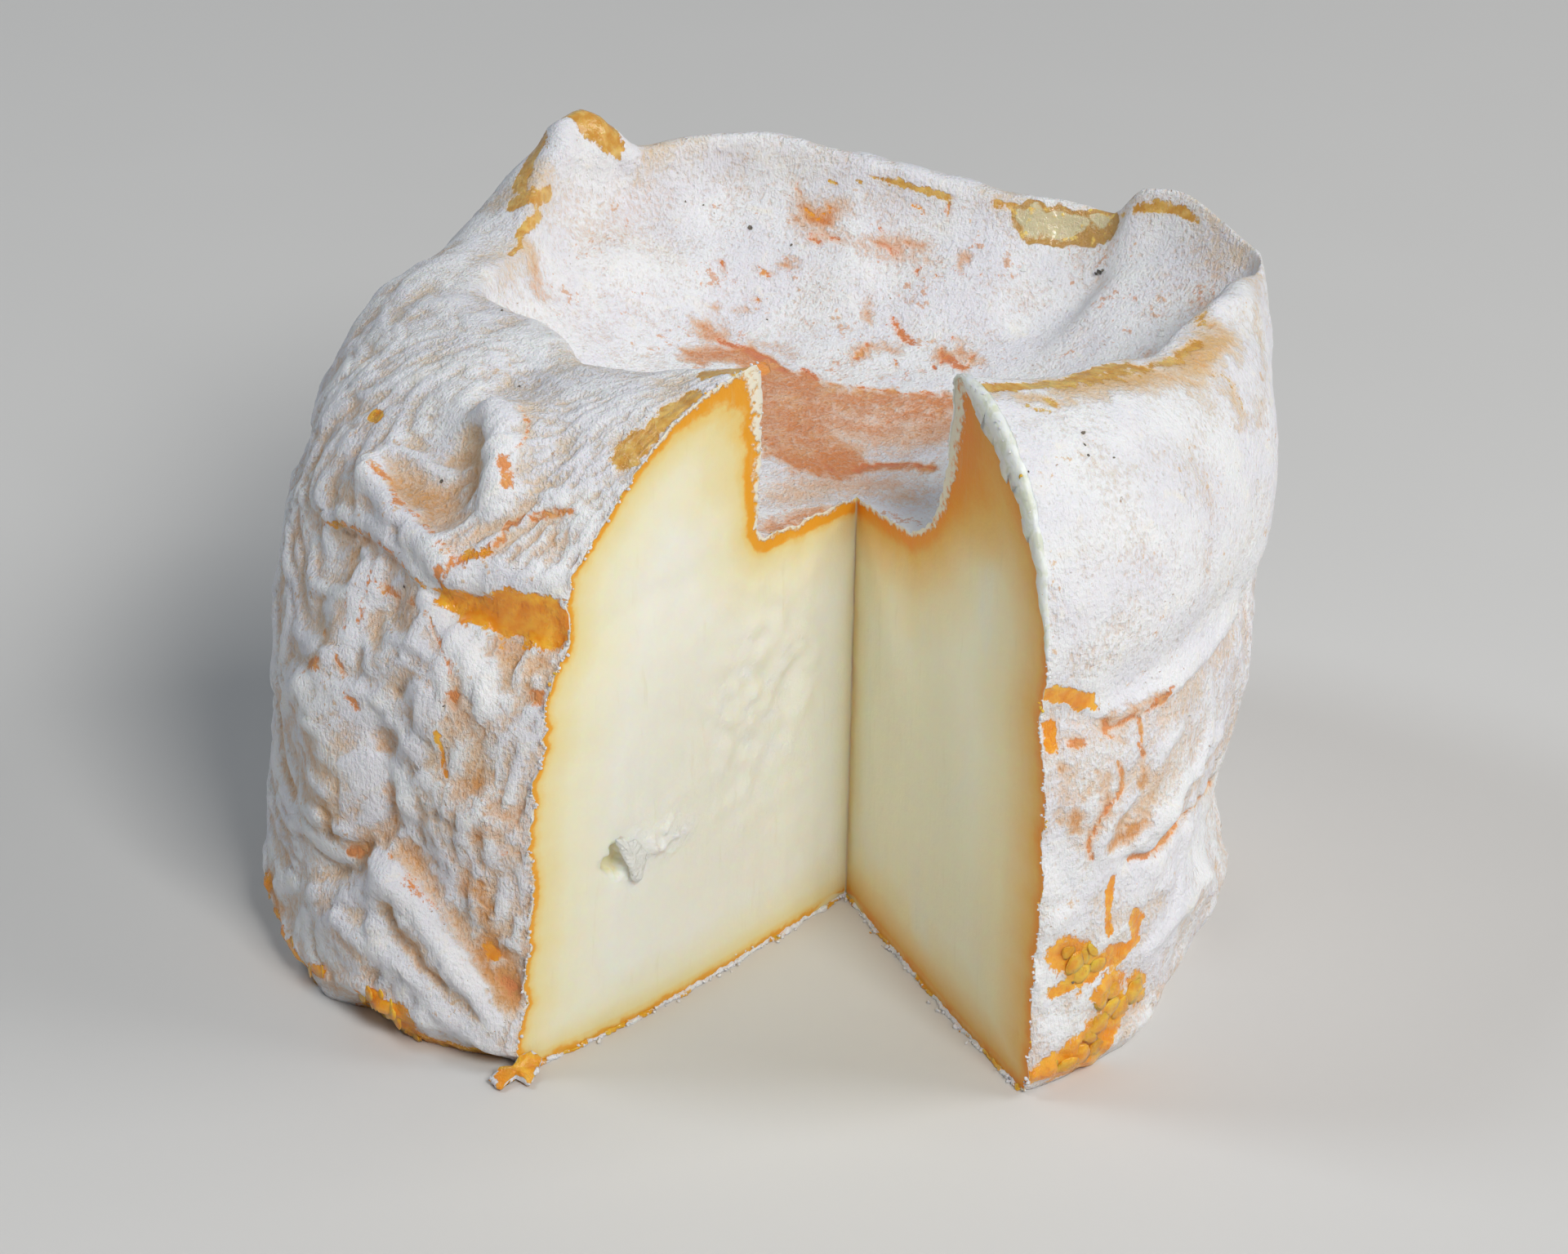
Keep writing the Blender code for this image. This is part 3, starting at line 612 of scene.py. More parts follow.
def smooth(stations, column, at):
    """A curve through the stations' column without overshoot, read at the positions given."""
    x = np.array([row[0] for row in stations], float)
    y = np.array([row[column] for row in stations], float)
    step = np.diff(x)
    slope = np.diff(y) / step
    tangent = np.concatenate(([slope[0]], np.zeros(len(x) - 2), [slope[-1]]))
    for k in range(1, len(x) - 1):
        if slope[k - 1] * slope[k] > 0:
            before, after = 2 * step[k] + step[k - 1], step[k] + 2 * step[k - 1]
            tangent[k] = (before + after) / (before / slope[k - 1] + after / slope[k])
    at = np.clip(at, x[0], x[-1])
    k = np.clip(np.searchsorted(x, at, side="right") - 1, 0, len(step) - 1)
    t = (at - x[k]) / step[k]
    start = (1 + 2 * t) * (1 - t) ** 2 * y[k] + t * (1 - t) ** 2 * step[k] * tangent[k]
    end = t * t * (3 - 2 * t) * y[k + 1] + t * t * (t - 1) * step[k] * tangent[k + 1]
    return start + end


def direction(angle):
    """The unit vector in the ground that an angle about the cut's inner edge points along."""
    return np.stack([np.sin(np.radians(angle)), -np.cos(np.radians(angle))], -1)


def wall_distance(angle, height):
    """Distance from the cut's inner edge to the outer wall."""
    aim = direction(angle)
    middle = np.stack([AXIS_X + LEAN * height, np.full_like(height, AXIS_Y)], -1)
    along = middle @ aim
    distance = np.full_like(height, RADIUS_GUESS)
    for _ in range(RADIUS_ROUNDS):
        out = distance[:, None] * aim - middle
        turn = np.degrees(np.arctan2(out[:, 0], -out[:, 1])) % 360
        low, high = smooth(WALL, 1, turn), smooth(WALL, 2, turn)
        radius = low + (high - low) * height / WALL_TOP
        distance = along + np.sqrt(along**2 + radius**2 - (middle**2).sum(1))
    foot = np.clip(1 - height / FOOT_HEIGHT, 0, 1)
    return distance - FOOT_INSET * foot**2


def section(angle):
    """The outline in the half-plane at an angle, as evenly spaced (distance, height) points, with
    the lengths along it of its points and of its start, crest and foot."""
    crest = np.array([smooth(CREST, 1, angle), smooth(CREST, 2, angle)])
    edge = np.array([smooth(FLOOR_EDGE, 1, angle), smooth(FLOOR_EDGE, 2, angle)])
    turn_height = float(smooth(ROUNDING, 1, angle))
    outer_power, inner_power = smooth(ROUNDING, 2, angle), smooth(ROUNDING, 3, angle)
    shoulder = np.array([wall_distance(angle, np.array([turn_height]))[0], turn_height])
    quarter = np.linspace(0, math.pi / 2, QUARTER_SAMPLES)[:, None]
    rise, fall = np.sin(quarter), np.cos(quarter)
    inward = np.hstack([rise ** (2 / inner_power), 1 - fall ** (2 / inner_power)])
    outward = np.hstack([rise ** (2 / outer_power), 1 - fall ** (2 / outer_power)])
    across = np.linspace(0, 1, FLOOR_SAMPLES)[:, None]
    floor = np.array([0, FLOOR_HEIGHT]) * (1 - across) + edge * across
    heights = np.linspace(turn_height, 0, WALL_SAMPLES)
    wall = np.stack([wall_distance(angle, heights), heights], -1)
    parts = [floor, edge + (crest - edge) * inward, crest + (shoulder - crest) * outward, wall]
    points = np.vstack([parts[0], *(part[1:] for part in parts[1:])])
    length = np.concatenate(([0], np.cumsum(np.hypot(*np.diff(points, axis=0).T))))
    crest_at = length[len(parts[0]) + len(parts[1]) - 2]
    even = np.linspace(0, length[-1], SECTION_SAMPLES)
    points = np.stack([np.interp(even, length, points[:, k]) for k in (0, 1)], -1)
    return rounded(points, RIM_ROUNDING / even[1]), even, (0, crest_at, length[-1])


def rounded(points, spread):
    """The points smoothed along their line, with both ends kept."""
    reach = int(3 * spread)
    weights = np.exp(-0.5 * (np.arange(-reach, reach + 1) / spread) ** 2)
    weights /= weights.sum()
    start = 2 * points[0] - points[reach:0:-1]
    end = 2 * points[-1] - points[-2 : -reach - 2 : -1]
    line = np.vstack([start, points, end])
    return np.stack([np.convolve(line[:, k], weights, "valid") for k in (0, 1)], -1)


def foot_distance(angle):
    """Distance from the cut's inner edge to the foot, for an array of angles."""
    table = np.linspace(CUT_RIGHT, CUT_LEFT, FOOT_SAMPLES)
    return np.interp(angle, table, [wall_distance(a, np.zeros(1))[0] for a in table])


def column_angles():
    """The columns' angles, close together where the rind is seen from near and at the cut."""
    fine = np.linspace(CUT_RIGHT, CUT_LEFT, ANGLE_SAMPLES)
    columns = np.radians(1) * foot_distance(fine) / smooth(COLUMN_SPACING, 1, fine)
    count = np.concatenate(([0], np.cumsum((columns[1:] + columns[:-1]) / 2 * np.diff(fine))))
    return np.interp(np.linspace(0, count[-1], int(count[-1]) + 1), count, fine)


def body_grid():
    """Points over the top and the outer wall, in columns of one angle each, from beside the inner
    edge to the foot, with each point's angle and its distance down from the crest."""
    angles = column_angles()
    inside = np.arange(1, ROWS_INSIDE + 1) / ROWS_INSIDE
    places = np.concatenate([inside, 1 + np.arange(1, ROWS_OUTSIDE + 1) / ROWS_OUTSIDE])
    grid, down = [], []
    for angle in angles:
        points, even, breaks = section(angle)
        at = np.interp(places, range(3), breaks)
        distance, height = (np.interp(at, even, points[:, k]) for k in (0, 1))
        grid.append(np.column_stack([distance[:, None] * direction(angle), height]))
        down.append(at - breaks[1])
    return np.array(grid), np.repeat(angles[:, None], len(places), 1), np.array(down)


def fold_height(angle, down, away):
    """How far the solid's folds raise the rind. away is the distance from the inner edge."""
    total = np.zeros_like(angle)
    for height, width, line in FOLDS:
        nearest = np.full_like(angle, np.inf)
        for (angle_a, down_a), (angle_b, down_b) in zip(line, line[1:]):
            scale = np.radians(1) * away
            run = np.stack([(angle_b - angle_a) * scale, np.full_like(down, down_b - down_a)])
            to = np.stack([(angle - angle_a) * scale, down - down_a])
            share = np.clip((run * to).sum(0) / (run * run).sum(0), 0, 1)
            nearest = np.minimum(nearest, np.hypot(*(to - share * run)))
        total += height * np.exp(-((nearest / width) ** 2))
    return total


def lifts(grid, angle):
    """The unit directions that relief rises in: outward, and within each column's half-plane."""
    across, along = np.gradient(grid, axis=0), np.gradient(grid, axis=1)
    facing = np.cross(along, across)
    turn = np.radians(angle)
    sideways = np.stack([np.cos(turn), np.sin(turn), np.zeros_like(turn)], -1)
    facing -= (facing * sideways).sum(-1, keepdims=True) * sideways
    return facing / np.linalg.norm(facing, axis=-1, keepdims=True)


def gap_side(cut):
    """The unit vector out of a cut face, into the gap."""
    sign = 1 if cut == CUT_LEFT else -1
    return sign * np.array([math.cos(math.radians(cut)), math.sin(math.radians(cut)), 0])


def warped(points):
    """The points with the paste's bulge out of the cut faces, and the crevice at the inner edge."""
    away = np.hypot(points[..., 0], points[..., 1])
    angle = np.degrees(np.arctan2(points[..., 0], -points[..., 1])) % 360
    swell = np.sin(np.pi * np.clip(away / foot_distance(angle), 0, 1) ** BULGE_SKEW)
    moved = points.copy()
    for cut, column in ((CUT_LEFT, 1), (CUT_RIGHT, 2)):
        behind = np.abs(np.radians(cut - angle)) * away
        amount = smooth(CUT_BULGE, column, points[..., 2]) * swell
        amount = amount * np.exp(-((behind / BULGE_REACH) ** 2))
        moved += amount[..., None] * gap_side(cut)
    moved[..., 1] += CREVICE_DEPTH * np.exp(-((away / CREVICE_WIDTH) ** 2))
    return moved


# Noise

draw = np.random.default_rng(7)
GRADIENTS = draw.normal(size=(256, 3))
GRADIENTS /= np.linalg.norm(GRADIENTS, axis=1, keepdims=True)
SHUFFLE = draw.permutation(256)


def noise(points, size, seed=0):
    """Smooth random values, mostly within 1 of zero, with lumps of about the size."""
    place = np.asarray(points, float) / size
    cell = np.floor(place).astype(int)
    part = place - cell
    ease = part**3 * (part * (part * 6 - 15) + 10)
    total = 0
    for corner in itertools.product((0, 1), repeat=3):
        key = (cell + corner) & 255
        pick = seed
        for axis in range(3):
            pick = SHUFFLE[(key[..., axis] + pick) & 255]
        weight = np.where(np.array(corner) == 1, ease, 1 - ease).prod(-1)
        total = total + weight * (GRADIENTS[pick] * (part - corner)).sum(-1)
    return 1.8 * total


def rough(points, size, octaves, seed=0):
    """Noise with finer octaves on it."""
    return sum(noise(points, size / 2**k, seed + 17 * k) / 2**k for k in range(octaves))


def between(value, low, high):
    """0 up to low, 1 from high, and a smooth step between them."""
    t = np.clip((value - low) / (high - low), 0, 1)
    return t * t * (3 - 2 * t)


# The camera, and places by pixels

def camera_axes():
    """The photograph's camera: its place, and its right, up and forward unit vectors."""
    tilt, roll = math.radians(CAMERA_ELEVATION), math.radians(CAMERA_ROLL)
    forward = np.array([0, math.cos(tilt), -math.sin(tilt)])
    level = np.array([1.0, 0, 0])
    upright = np.cross(level, forward)
    right = math.cos(roll) * level + math.sin(roll) * upright
    up = math.cos(roll) * upright - math.sin(roll) * level
    off = (EDGE_PIXEL - IMAGE / 2) / PIXELS_PER_MM
    return -CAMERA_DISTANCE * forward - off[0] * right + off[1] * up, right, up, forward


def sight_lines(pixels):
    """The directions in which the camera sees the pixels."""
    right, up, forward = camera_axes()[1:]
    off = (np.array(pixels, float) - IMAGE / 2) / (PIXELS_PER_MM * CAMERA_DISTANCE)
    return forward + off[:, :1] * right - off[:, 1:] * up


class Rind:
    """The rind's points before its fine relief, for casting pixels and measuring distances."""

    def __init__(self, grid, lift):
        self.points = grid.reshape(-1, 3)
        self.lift = lift.reshape(-1, 3)
        coarse = grid[::3, ::2]
        columns, rows = coarse.shape[:2]
        index = np.arange(columns * rows).reshape(columns, rows)
        quads = np.stack([index[:-1, :-1], index[:-1, 1:], index[1:, 1:], index[1:, :-1]], -1)
        self.tree = BVHTree.FromPolygons(coarse.reshape(-1, 3).tolist(), quads.reshape(-1, 4).tolist())

    def settle(self, grid, down, out):
        """Keeps the grid with all its relief, its distances down and its outward directions."""
        self.grid, self.down, self.out = grid, down, out

    def under(self, pixels):
        """The places on the rind that the camera sees at the pixels, or the nearest ones."""
        place = camera_axes()[0]
        found = []
        for line in sight_lines(pixels):
            hit = self.tree.ray_cast(Vector(place), Vector(line))[0]
            if hit is None:
                along = place + SOUGHT[:, None] * CAMERA_DISTANCE * line
                near = [self.tree.find_nearest(Vector(p)) for p in along]
                hit = min(near, key=lambda n: n[3])[0]
            found.append(hit)
        return np.array(found)

    def facing(self, places):
        """The rind's outward directions at the places."""
        return [self.lift[np.argmin(((self.points - place) ** 2).sum(1))] for place in places]

    def measure(self, line, reach):
        """Indices of the points within reach of a line of places, how far off they are, and
        whether they are on its left, seen from outside."""
        low, high = line.min(0) - reach, line.max(0) + reach
        near = np.flatnonzero(((self.points > low) & (self.points < high)).all(1))
        points = self.points[near]
        best = np.full(len(near), np.inf)
        left = np.zeros(len(near), bool)
        for start, end in zip(line, line[1:]):
            run = end - start
            share = np.clip((points - start) @ run / max(run @ run, 1e-9), 0, 1)
            off = points - start - share[:, None] * run
            away = np.linalg.norm(off, axis=1)
            closer = away < best
            best[closer] = away[closer]
            side = (np.cross(self.lift[near], run) * off).sum(1) > 0
            left[closer] = side[closer]
        keep = best < reach
        return near[keep], best[keep], left[keep]


def relief_marks(rind):
    """The height in millimetres that the ridges, creases and lips add at each point."""
    total = np.zeros(len(rind.points))
    uneven = 1 + 0.5 * rough(rind.points, 3.0, 2, 221)
    for height, width, pixels in RIDGES.values():
        near, away, _ = rind.measure(rind.under(pixels), 3 * width)
        total[near] += height * uneven[near] * np.exp(-((away / width) ** 2))
    for height, width, pixels in LIPS.values():
        near, away, left = rind.measure(rind.under(pixels), 3 * width)
        fall = np.where(left, np.exp(-((away / width) ** 2)), np.exp(-((away / LIP_FRONT) ** 2)))
        total[near] += height * fall
    return total


def painted(rind, marks, wander):
    """A group of colour marks at each point: a mark's strength on its line, half of that at its
    half-width, and nothing at twice the half-width. wander makes its edge uneven."""
    total = np.zeros(len(rind.points))
    for strength, width, pixels in marks.values():
        near, away, _ = rind.measure(rind.under(pixels), 2 * width + 0.5)
        away = away + wander[near] * min(width, 1.2)
        total[near] = np.maximum(total[near], strength * np.clip(1 - away / (2 * width), 0, 1))
    return total


# The rind

def wrap(grid, angle, down):
    """Flat coordinates on the rind in millimetres: along the wall, and down it."""
    reach = np.hypot(grid[..., 0], grid[..., 1]).max(1, keepdims=True)
    return np.stack([np.radians(angle) * reach, down], -1)


def slanted(flat, tilt, stretch):
    """The flat coordinates turned so that streaks that lean by tilt degrees, down and to the
    right, lie along the second axis, and shortened along it by stretch."""
    turn = math.radians(tilt)
    across = flat[..., 0] * math.cos(turn) - flat[..., 1] * math.sin(turn)
    along = flat[..., 0] * math.sin(turn) + flat[..., 1] * math.cos(turn)
    return np.stack([across, along / stretch, np.zeros_like(along)], -1)


def wall_sides(angle):
    """How much a place is on the right and on the left side of the wall, from 0 to 1 each."""
    return 1 - between(angle, *RIGHT_END), between(angle, *LEFT_START)


def under_ledge(angle, down):
    """1 below the ledge across the right wall, and 0 above it."""
    start = LEDGE_DOWN + (angle - LEDGE_ANGLE) * LEDGE_SLOPE
    return between(down, start, start + LEDGE_HEIGHT)


def wrinkles(grid, angle, down):
    """The height in millimetres of the rind's wrinkles at each point of the grid."""
    flat = wrap(grid, angle, down)
    outside = between(down, 0, 6)
    right, left = wall_sides(angle)
    back = 1 - np.maximum(left, right)
    below_ledge = under_ledge(angle, down)
    bend = np.stack([rough(grid, 9, 2, 3), rough(grid, 9, 2, 5), np.zeros_like(down)], -1)

    streaks = slanted(flat, 24, 3.0) + 1.6 * bend
    folded = 0.55 - np.abs(noise(streaks, 2.6, 11)) * 1.6
    strands = noise(slanted(flat, 14, 4.0) + bend, 1.25, 21)
    lumps = rough(grid, 6.0, 2, 31)
    pebbles = rough(grid, 1.5, 2, 41)
    veins = np.abs(noise(slanted(flat, -24, 1.6) + 2.2 * bend, 3.2, 51)) * 2.2 - 0.55

    creased = np.minimum(np.abs(noise(slanted(flat, 24, 2.2) + 1.8 * bend, 2.0, 13)) * 2.2, 0.6) - 0.4
    leathery = 0.34 * folded + 0.52 * creased + 0.26 * strands + 0.28 * lumps + 0.11 * pebbles
    smoother = 0.3 * lumps + 0.2 * creased + 0.14 * strands + 0.1 * pebbles
    total = outside * left * between(down, 6, 22) * leathery
    total += outside * left * (1 - between(down, 6, 22)) * smoother
    total += outside * back * (0.26 * folded + 0.1 * strands + 0.35 * lumps + 0.06 * pebbles)
    total += outside * right * below_ledge * (0.22 * veins + 0.28 * lumps + 0.07 * pebbles)
    total += outside * right * (1 - below_ledge) * (0.15 * lumps + 0.075 * pebbles)
    upright = noise(slanted(flat, 0, 6.0) + 0.4 * bend, 1.1, 61)
    total += outside * right * between(angle, 70, 92) * 0.09 * upright
    total += (1 - outside) * (0.22 * lumps + 0.07 * pebbles)
    return total


def blurred(field, columns, rows):
    """A grid's field smoothed over a number of columns and rows."""
    for axis, spread in ((0, columns), (1, rows)):
        reach = int(2.5 * spread)
        weights = np.exp(-0.5 * (np.arange(-reach, reach + 1) / spread) ** 2)
        padded = np.pad(field, [(reach, reach) if k == axis else (0, 0) for k in (0, 1)], "edge")
        field = np.apply_along_axis(np.convolve, axis, padded, weights / weights.sum(), "valid")
    return field


def rind_fields(rind, grid, angle, down, height, marks):
    """What the rind's colours follow at each point: how thick the bloom is, with painted highlight on
    ridges and painted shade in dips, on the left wall and on the hollow's floor, how bare and glossy
    the rind, how red its skin, and where paste shows."""
    hollow = 1 - between(down, -6, 1)
    crest = np.exp(-((down - 0.5) / 3.0) ** 2)
    right, left = wall_sides(angle)
    below_ledge = under_ledge(angle, down) * right
    # The bloom is thicker on tops and thinner in dips: partly the orange skin showing in the creases, partly
    # painted highlight on the tops and painted shade in the dips.
    dip_light_and_shade = np.clip((height - blurred(height, 3, 3)) / 0.16, -1, 1)
    wide_dip_light_and_shade = np.clip((height - blurred(height, 8, 8)) / 0.5, -1, 1)

    bloom_light_and_shade = 0.78 + 0.12 * (1 - 0.8 * hollow) * rough(grid, 6, 3, 71)
    # The last term lowers the bloom over the whole left wall: partly its thinner bloom, partly painted shade
    # on the wall that faces away from the light.
    bloom_light_and_shade += (1 - 0.5 * right) * (1 - 0.6 * hollow) * (0.17 * dip_light_and_shade + 0.17 * wide_dip_light_and_shade) - 0.02 * left
    # Raised marks thicken the bloom and sunken ones thin it: partly the bloom's own lie, partly painted
    # highlight on the ridges and painted shade in the creases.
    bloom_light_and_shade += 0.3 * np.clip(marks, -1, 1)
    # The right wall's bloom is thicker above its ledge and thinner below it; through the left wall's middle
    # it is lowered, partly thinner bloom and partly painted shade.
    bloom_light_and_shade += 0.08 * right * (1 - below_ledge) - 0.1 * below_ledge - 0.08 * left * between(down, 14, 30)
    bloom_light_and_shade += 0.05 * hollow - 0.05 * crest
    bloom_light_and_shade = bloom_light_and_shade.reshape(-1)
    wander = rough(grid.reshape(-1, 3), 1.2, 3, 81) * 0.5
    crack = painted(rind, CRACKS, wander)
    peach_and_shade = painted(rind, PEACH_AND_SHADE, wander)
    stain_and_shade = painted(rind, STAINS_AND_SHADE, wander * 1.4)
    bare = painted(rind, AMBER, wander)
    chip = painted(rind, CHIP, wander)
    foot = (between(-grid[..., 2], -2.2, -0.4) * between(noise(grid, 4.5, 91), -0.1, 0.5)).reshape(-1)
    low_left = between(angle, 262, 276).reshape(-1)
    bare = np.maximum(bare, 0.8 * foot * (0.4 + 0.6 * low_left))
    bloom_light_and_shade += 0.5 * painted(rind, THICK, wander)
    # Peach marks, stains and cracks thin the bloom; on the hollow's floor the peach mark and the stains are
    # partly painted shade.
    bloom_light_and_shade -= 0.42 * peach_and_shade + 0.72 * between(stain_and_shade, 0.12, 0.7) + 0.25 * crack
    warm = 0.5 + 0.3 * hollow - 0.45 * crest - 0.15 * below_ledge + 0.25 * noise(grid, 5, 101)
    warm = np.clip((warm - 0.1 * left).reshape(-1) + 0.3 * stain_and_shade + 0.35 * np.clip(bare, 0, 1), 0, 1)
    warm *= 1 - 0.95 * between(grid[..., 2] - 2.5 * hollow, 44.5, 50).reshape(-1)
    return {"bloom_light_and_shade": np.clip(bloom_light_and_shade, 0, 1), "crack": crack, "bare": bare, "warm": warm, "chip": chip}


# The cut faces

def inside(points, loop):
    """Whether the flat points are inside the closed loop."""
    result = np.zeros(len(points), bool)
    for (x_a, y_a), (x_b, y_b) in zip(loop, np.roll(loop, -1, axis=0)):
        if y_a != y_b:
            crossed = (points[:, 1] > y_a) != (points[:, 1] > y_b)
            at = x_a + (points[:, 1] - y_a) * (x_b - x_a) / (y_b - y_a)
            result ^= crossed & (points[:, 0] < at)
    return result


def distance_to(points, line):
    """The flat points' distance to a line of flat points."""
    best = np.full(len(points), np.inf)
    for start, end in zip(line, line[1:]):
        run = end - start
        share = np.clip((points - start) @ run / max(run @ run, 1e-12), 0, 1)
        best = np.minimum(best, np.hypot(*(points - start - share[:, None] * run).T))
    return best


def face_points(loop, fine_at):
    """Flat points inside a cut face's loop: rings beside its edge, a lattice in the middle, and a
    finer one round the place fine_at."""
    closed = np.vstack([loop, loop[:1]])
    chord = np.roll(loop, -1, axis=0) - np.roll(loop, 1, axis=0)
    normal = np.column_stack([-chord[:, 1], chord[:, 0]])
    normal /= np.maximum(np.hypot(*normal.T), 1e-9)[:, None]
    tried = slice(TRIED_POINT, TRIED_POINT + 1)
    if not inside(loop[tried] + 0.05 * normal[tried], loop)[0]:
        normal = -normal
    rings = []
    for offset in FACE_RINGS:
        ring = loop + offset * normal
        ring = ring[inside(ring, loop)]
        rings.append(ring[distance_to(ring, closed) > 0.8 * offset])
    coarse = lattice(loop.min(0), loop.max(0), FACE_SPACING)
    coarse = coarse[inside(coarse, loop)]
    coarse = coarse[distance_to(coarse, closed) > FACE_RINGS[-1] + RING_GAP]
    if fine_at is None:
        return np.vstack([*rings, coarse])
    fine = lattice(fine_at - FINE_REACH, fine_at + FINE_REACH, FINE_SPACING)
    fine = fine[np.hypot(*(fine - fine_at).T) < FINE_REACH]
    coarse = coarse[np.hypot(*(coarse - fine_at).T) > FINE_REACH + FINE_GAP]
    return np.vstack([*rings, coarse, fine])


def lattice(low, high, spacing):
    """Flat points in staggered rows."""
    rows = np.arange(low[1], high[1], spacing * ROW_SPACING)
    across = np.arange(low[0], high[0], spacing)
    return np.array([(x + spacing / 2 * (k % 2), z) for k, z in enumerate(rows) for x in across])


def cut_face(loop, fine_at):
    """Points added inside a loop of flat points, and triangles over both."""
    added = face_points(loop, fine_at)
    flat = np.vstack([loop, added])
    result = delaunay_2d_cdt([Vector(p) for p in flat], [], [list(range(len(loop)))], 1, 1e-5)
    origin = [sources[0] for sources in result[3]]
    return added, [[origin[k] for k in face] for face in result[2]]


def on_cut(pixels, cut):
    """Flat (distance, height) places that the camera sees on a cut face at the pixels."""
    place = camera_axes()[0]
    out, aim = gap_side(cut), np.append(direction(cut), 0)
    found = []
    for line in sight_lines(pixels):
        bulge = 0.0
        for _ in range(BULGE_ROUNDS):
            spot = place + line * ((bulge - place @ out) / (line @ out))
            flat = (spot @ aim) * aim + np.array([0, 0, spot[2]])
            bulge = float((warped(flat[None])[0] - flat) @ out)
        found.append((spot @ aim, spot[2]))
    return np.array(found)


# The body

def foot_tuck(points, angle, away):
    """How far the foot is drawn in under its bead, and the bead stands out."""
    flat = points * (1, 1, 0)
    bead = smooth(FOOT_TUCK, 2, angle) * (1 + 0.25 * noise(flat, 5.0, 141))
    tuck = smooth(FOOT_TUCK, 1, angle) * (1 + 0.3 * noise(flat, 3.5, 151))
    tuck = tuck * np.clip(1 - points[..., 2] / bead, 0, 1) ** 1.1
    return tuck - 0.25 * np.exp(-((points[..., 2] - bead) ** 2)) * between(away, 30, 33)


def rind_relief(grid, angle, down, away, at_foot, lift):
    """The height in millimetres of all the rind's relief, its colour fields, and the surface that
    pixels are cast on."""
    at_foot = 0.3 + 0.7 * at_foot
    height = wrinkles(grid, angle, down) * at_foot
    for turn, width, depth, low, high, end in DENTS:
        upright = between(grid[..., 2], 0, low) * (1 - between(grid[..., 2], high, end))
        height -= depth * upright * np.exp(-(((angle - turn) / width) ** 2)) * between(down, 10, 20)
    rind = Rind(grid + lift * height[..., None], lift)
    marks = relief_marks(rind).reshape(height.shape)
    height += marks * at_foot
    fields = rind_fields(rind, grid, angle, down, height, marks)
    behind = np.minimum(np.abs(angle - CUT_RIGHT), np.abs(CUT_LEFT - angle)) * np.radians(1) * away
    height += 0.3 * rough(grid, 0.9, 2, 111) * np.exp(-((behind / 0.5) ** 2))
    height -= 0.15 * (fields["bare"] + 2 * fields["chip"]).reshape(height.shape)
    bare = np.clip(fields["bare"], 0, 1).reshape(height.shape)
    height += 0.8 * bare * (blurred(height, 3, 3) - height)
    chunks = between(bare, 0.45, 0.8) * (1 - between(grid[..., 2], 8, 16))
    height += 0.35 * chunks * (rough(grid, 1.5, 2, 321) + 0.3)
    return height * between(np.minimum(away, 5), 0.2, 2.0), fields, rind


class Body:
    """The cheese's vertices in millimetres, its faces with their material, and fields by name."""

    def __init__(self, grid, angle, fields):
        self.vertices = grid.reshape(-1, 3)
        self.faces = []
        none = np.zeros(len(self.vertices))
        on_right = (angle < 180).reshape(-1).astype(float)
        self.fields = {**fields, "side": on_right, "edge": none, "curd": none}

    def add(self, points, **values):
        """Adds vertices with their fields' values, and gives their indices."""
        start = len(self.vertices)
        self.vertices = np.vstack([self.vertices, points])
        count = len(self.vertices) - start
        values = {"bloom_light_and_shade": ADDED_BLOOM, **values}
        for name, field in self.fields.items():
            added = np.broadcast_to(values.get(name, 0.0), count)
            self.fields[name] = np.concatenate([field, added])
        return np.arange(start, start + count)


def body_mesh():
    """The cheese's body, the outlines of its cut faces, and its rind for placing small things."""
    plain, angle, down = body_grid()
    away = np.hypot(plain[..., 0], plain[..., 1])
    at_foot = np.clip(plain[..., 2] / FOOT_HEIGHT, 0, 1)
    fold = fold_height(angle, down, away) * at_foot
    plain = plain + lifts(plain, angle) * fold[..., None]
    lift = lifts(plain, angle)
    plain[..., :2] -= direction(angle) * foot_tuck(plain, angle, away)[..., None]
    grid = warped(plain)
    height, fields, rind = rind_relief(grid, angle, down, away, at_foot, lift)
    moved = lift * height[..., None]
    moved[..., 2] = np.maximum(moved[..., 2], -grid[..., 2])
    moved[:, -1, 2] = 0
    grid = grid + moved
    flat_rim = plain + moved

    body = Body(grid, angle, fields)
    none = 0 * INNER_HEIGHTS
    inner = warped(np.column_stack([none, none, INNER_HEIGHTS]))
    inner = body.add(inner, side=0.5, edge=INNER_EDGE_DEPTH)
    rings = [body.add(warped(flat_rim[:, -1] * (share, share, 0))) for share in BASE_RINGS]
    strips = np.column_stack([np.arange(angle.size).reshape(angle.shape), *rings])
    add_rind_faces(body, strips, inner[-1], inner[0])
    outlines = []
    for column, cut in ((0, CUT_RIGHT), (-1, CUT_LEFT)):
        ring = np.concatenate([inner[-1:], strips[column], inner[:-1]])
        outlines.append((cut, add_cut(body, cut, flat_rim[column], ring)))
    rind.settle(grid, down, lift)
    return body, outlines, rind


def add_rind_faces(body, strips, top, bottom):
    """Faces between the columns, from the inner edge's top over the rind and the base to its
    bottom."""
    for one, two in zip(strips, strips[1:]):
        body.faces.append((top, one[0], two[0], 0))
        body.faces += [(one[j], one[j + 1], two[j + 1], two[j], 0) for j in range(len(one) - 1)]
        body.faces.append((one[-1], bottom, two[-1], 0))


